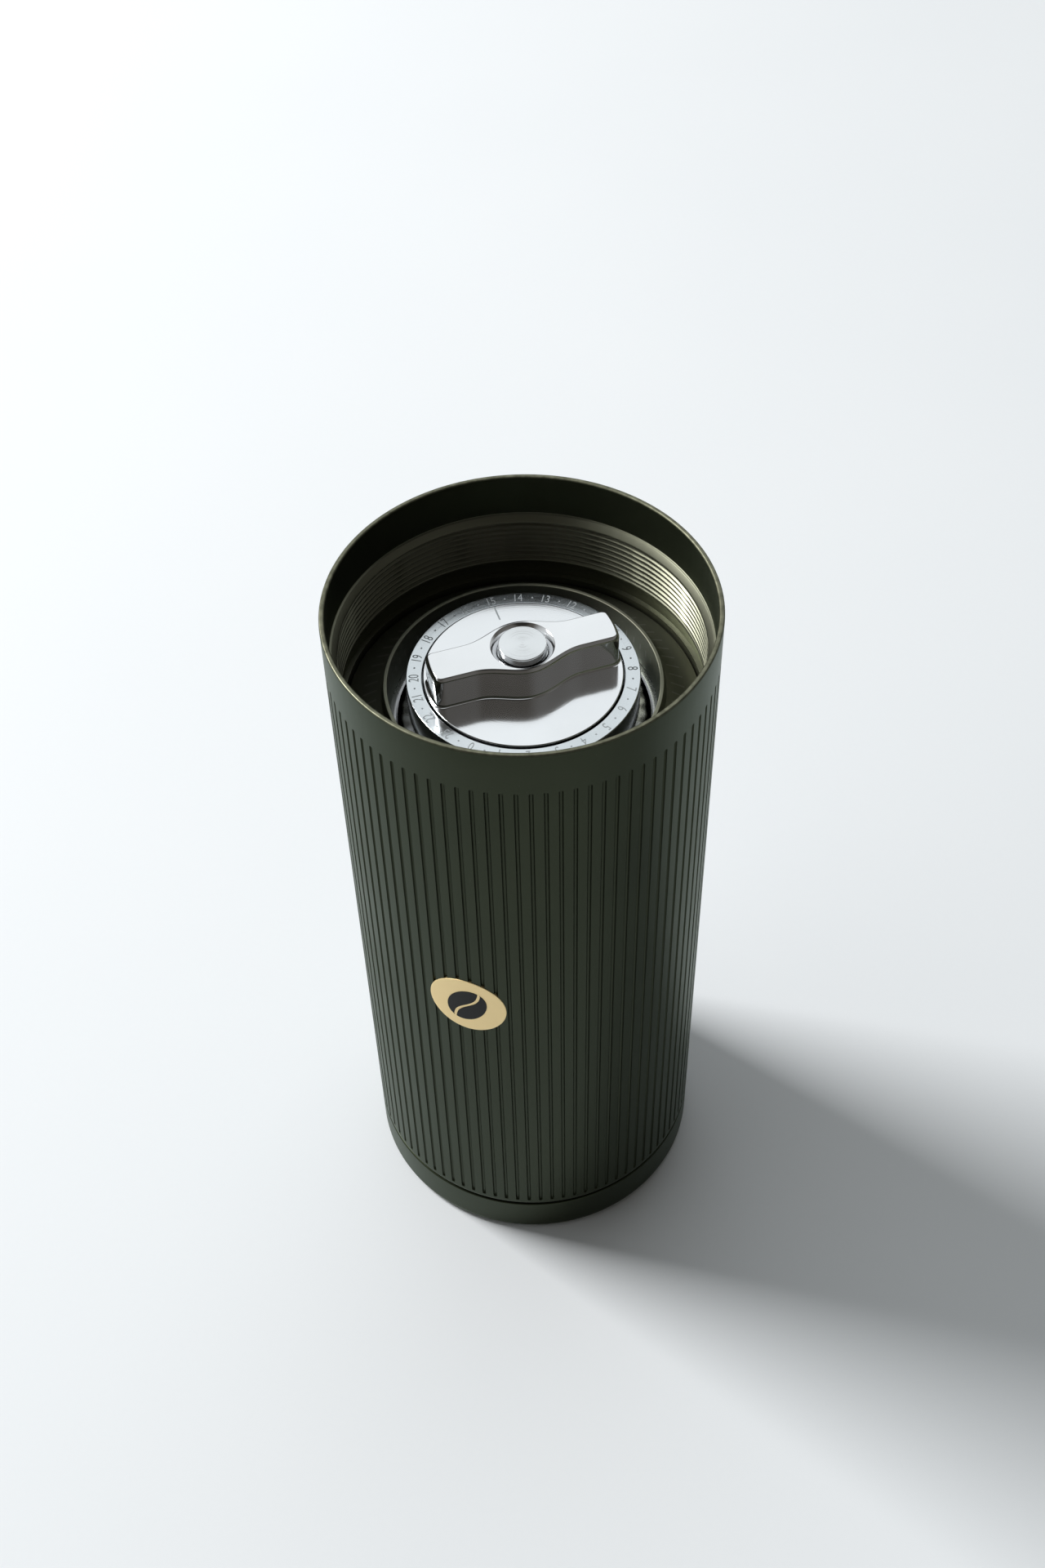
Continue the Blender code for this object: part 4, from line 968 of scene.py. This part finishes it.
def armShape(size):
    # the same bevel on both sides, as (distance outside the outline, depth from the face)
    bevel = size["bevel"]
    edge = [(-bevel - 0.1, 0), (-bevel, 0), (-bevel + 0.1, 0.03), (-0.03, bevel - 0.07), (0, bevel + 0.03), (0, bevel + 0.2)]
    rows = [(d, -size["back"] + h) for d, h in edge] + [(d, -size["front"] - h) for d, h in edge[::-1]]
    points, faces = carried(armOutline(size), rows)
    points = np.stack([points[:, 0], -points[:, 2], points[:, 1]], -1)
    hole, eye, half = size["eyeHole"], size["eye"], size["eyeHalf"]
    eyePoints, eyeFaces = turned(rounded([(hole, -half, 0.1), (eye, -half, 0.3), (eye, half, 0.3), (hole, half, 0.1)]), 64)
    return joined((points, faces), (alongX(eyePoints, size["eyeY"], size["eyeZ"]), eyeFaces))


addPiece("crankArm", armShape(armSizes), "crank_lever", "bare_aluminium", plain["blastedAluminium"], "crank_arm")


def addAlongY(name, profile, sides, height, *rest, closed=True):
    # a turned piece about a line along Y at that height; the profile is (radius, y)
    points, faces = turned(profile, sides, closed)
    return addPiece(name, (alongY(points, 0, height), faces), *rest)


# corners of the pad and the knob's cap as (radius, y, rounding)
bumperSizes = {"height": 70.0, "corners": [(0, 29.5, 0), (2.6, 29.5, 0.5), (3.0, 31.0, 0.3), (3.0, 32.6, 0), (0, 32.6, 0)]}
addAlongY("armBumper", rounded(bumperSizes["corners"]), 64, bumperSizes["height"], "crank_lever", "black_rubber",
          plain["sealRubber"], "arm_bumper", closed=False)

knobSizes = {"height": armSizes["knobZ"], "bore": 3.8, "capSeat": 6.15, "seatY": 57.25, "endY": 58.4,
             "foot": [(7.0, 37.8), (7.2, 37.83), (7.33, 37.95)],
             "swell": [(7.4, 38.1), (7.9, 39.6), (9.4, 43.0), (11.2, 47.2), (12.0, 51.6), (11.7, 55.0), (10.4, 57.4), (8.6, 58.35)],
             "cap": [(0, 57.3, 0), (6.0, 57.3, 0.1), (6.0, 59.0, 0.35), (2.6, 59.0, 0), (2.3, 58.85, 0), (0, 58.85, 0)]}


def knobProfile(size):
    bore, seat, end = size["bore"], size["capSeat"], size["endY"]
    return np.concatenate([
        [(bore, size["foot"][0][1])], size["foot"], smoothThrough(size["swell"], 7),
        [(8.4, end), (8.2, end), (seat + 0.2, end), (seat, end - 0.1), (seat, size["seatY"]), (bore, size["seatY"])]])


addAlongY("knobWood", knobProfile(knobSizes), 160, knobSizes["height"], "knob", "walnut", walnut, "crank_knob")
addAlongY("knobCap", rounded(knobSizes["cap"]), 128, knobSizes["height"], "knob", "bare_aluminium", metals["capMetal"],
          "knob_cap", closed=False)
print("crank built")


stageLooks = {
    "floor": finish(0.0, (0.80, 0.825, 0.85), (0.83, 0.852, 0.873), (0.7, 0.8), cloud=6.0, grain=900.0), "floorReach": 3000.0,
    "keyPower": 41.0, "keySize": (0.62, 0.34), "keyDistance": 2.0, "keyAzimuth": 154.0, "keyElevation": 44.0,
    "keyTarget": (0.0, 0.0, 0.06), "keyColour": (1.0, 1.0, 0.995), "backdrop": (0.80, 0.83, 0.85),
    "worldDim": 0.083, "dimTint": (1.04, 0.98, 0.87), "worldBright": 1.05, "brightTint": (0.95, 1.0, 1.015),
    # bright panels as (direction, degrees to full, degrees to nothing, strength), and the dark patch
    "panels": [((0.0, 0.62, 0.78), 20, 32, 1.0), ((-0.95, 0.1, 0.3), 18, 55, 0.62), ((0.9, -0.45, 0.5), 10, 45, 0.06),
               ((0.35, 0.9, 0.32), 22, 50, 0.45), ((0.0, 0.03, 1.0), 5, 13, 0.45)],
    "patch": ((0.0, -0.36, 0.93), 8, 21, 0.75)}


def addFloor(look):
    material, tree, shader, place = startMaterial("paleFloor", 0.0, **{"Specular IOR Level": 0.2})
    addMottle(tree, shader, place, look["floor"])
    reach, drop = look["floorReach"], -0.05    # a hair below the foot, so that the two never share a plane
    corners = [(-reach, -reach, drop), (reach, -reach, drop), (reach, reach, drop), (-reach, reach, drop)]
    floor = makePiece("floor", corners, [[0, 1, 2, 3]])
    floor.data.materials.append(material)
    floor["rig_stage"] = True


addFloor(stageLooks)


def aimedAt(place, target):
    # a matrix at place whose -Z axis points to target
    back = np.array(place, float) - np.array(target, float)
    back /= np.linalg.norm(back)
    side = np.cross([0, 0, 1.0], back)
    side /= np.linalg.norm(side)
    up = np.cross(back, side)
    return Matrix([[side[k], up[k], back[k], place[k]] for k in range(3)] + [[0, 0, 0, 1]])


def collected(name, things):
    group = bpy.data.collections.new(name)
    for thing in things:
        group.objects.link(thing)
    return group


def addKeyLight(look):
    azimuth, elevation = math.radians(look["keyAzimuth"]), math.radians(look["keyElevation"])
    target = np.array(look["keyTarget"])
    away = np.array([math.cos(azimuth) * math.cos(elevation), math.sin(azimuth) * math.cos(elevation), math.sin(elevation)])
    # the same lamp twice: one lights the object, one the floor, where the folded crank throws no shadow
    floor = [thing for thing in bpy.data.objects if thing.get("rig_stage")]
    shown = [thing for thing in bpy.data.objects if thing.type == "MESH" and not thing.hide_render and thing not in floor]
    still = [thing for thing in shown if thing.get("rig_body") not in ("crank_lever", "knob")]
    for name, receivers, blockers in (("keyOnObject", shown, None), ("keyOnFloor", floor, still)):
        lamp = bpy.data.lights.new(name, "AREA")
        lamp.shape, lamp.energy, lamp.color = "RECTANGLE", look["keyPower"], look["keyColour"]
        lamp.size, lamp.size_y = look["keySize"]
        light = bpy.data.objects.new(name, lamp)
        bpy.context.scene.collection.objects.link(light)
        light.matrix_world = aimedAt(target + away * look["keyDistance"], target)
        light.light_linking.receiver_collection = collected(name + "Lit", receivers)
        if blockers:
            light.light_linking.blocker_collection = collected(name + "Blockers", blockers)


addKeyLight(stageLooks)


def addPanel(tree, direction, towards, inner, outer, strength):
    unit = np.array(towards, float) / np.linalg.norm(towards)
    facing = vectorNode(tree, "DOT_PRODUCT", direction, tuple(unit))
    edges = [math.cos(math.radians(angle)) for angle in (outer, inner)]
    return mathNode(tree, "MULTIPLY", remap(tree, facing, *edges, interpolation_type="SMOOTHSTEP"), strength)


def makeWorld(look):
    # dim all round, with bright panels behind, on both sides, low at the back and above
    world = bpy.data.worlds.new("studioSky")
    world.use_nodes = True
    tree = world.node_tree
    direction = tree.nodes.new("ShaderNodeTexCoord").outputs["Generated"]
    light = 0.0
    for panel in look["panels"]:
        light = mathNode(tree, "MAXIMUM", light, addPanel(tree, direction, *panel))
    # the dark patch over the front keeps the far side of the bore deep
    dim = colour([look["worldDim"] * k for k in look["dimTint"]])
    bright = colour([look["worldBright"] * k for k in look["brightTint"]])
    shade = mixColours(tree, light, mixColours(tree, addPanel(tree, direction, *look["patch"]), dim, (0.0, 0.0, 0.0, 1)), bright)
    # what a camera sees past the floor is plain pale
    seen = tree.nodes.new("ShaderNodeLightPath").outputs["Is Camera Ray"]
    linkInputs(tree, tree.nodes["Background"], {0: mixColours(tree, seen, shade, colour(look["backdrop"]))})
    bpy.context.scene.world = world


makeWorld(stageLooks)

cameraSizes = {"place": (0.0, -0.19718, 0.31778), "yaw": -0.0030, "pitch": 0.8546, "roll": -0.0293, "lens": 43.625}


def addCamera(size):
    # looks along (sin yaw cos pitch, cos yaw cos pitch, -sin pitch), turned about that line by roll
    yaw, pitch, roll = size["yaw"], size["pitch"], size["roll"]
    ahead = np.array([math.sin(yaw) * math.cos(pitch), math.cos(yaw) * math.cos(pitch), -math.sin(pitch)])
    side = np.array([math.cos(yaw), -math.sin(yaw), 0.0])
    up = np.cross(side, ahead)
    right = math.cos(roll) * side + math.sin(roll) * up
    top = -math.sin(roll) * side + math.cos(roll) * up
    lens = bpy.data.cameras.new("viewCamera")
    lens.lens, lens.sensor_width, lens.sensor_fit, lens.clip_start = size["lens"], 36.0, "AUTO", 0.01
    camera = bpy.data.objects.new("viewCamera", lens)
    bpy.context.scene.collection.objects.link(camera)
    camera.matrix_world = Matrix([[right[k], top[k], -ahead[k], size["place"][k]] for k in range(3)] + [[0, 0, 0, 1]])
    bpy.context.scene.camera = camera


addCamera(cameraSizes)
bpy.context.scene.view_settings.view_transform = "Standard"
print("stage, light and camera set")
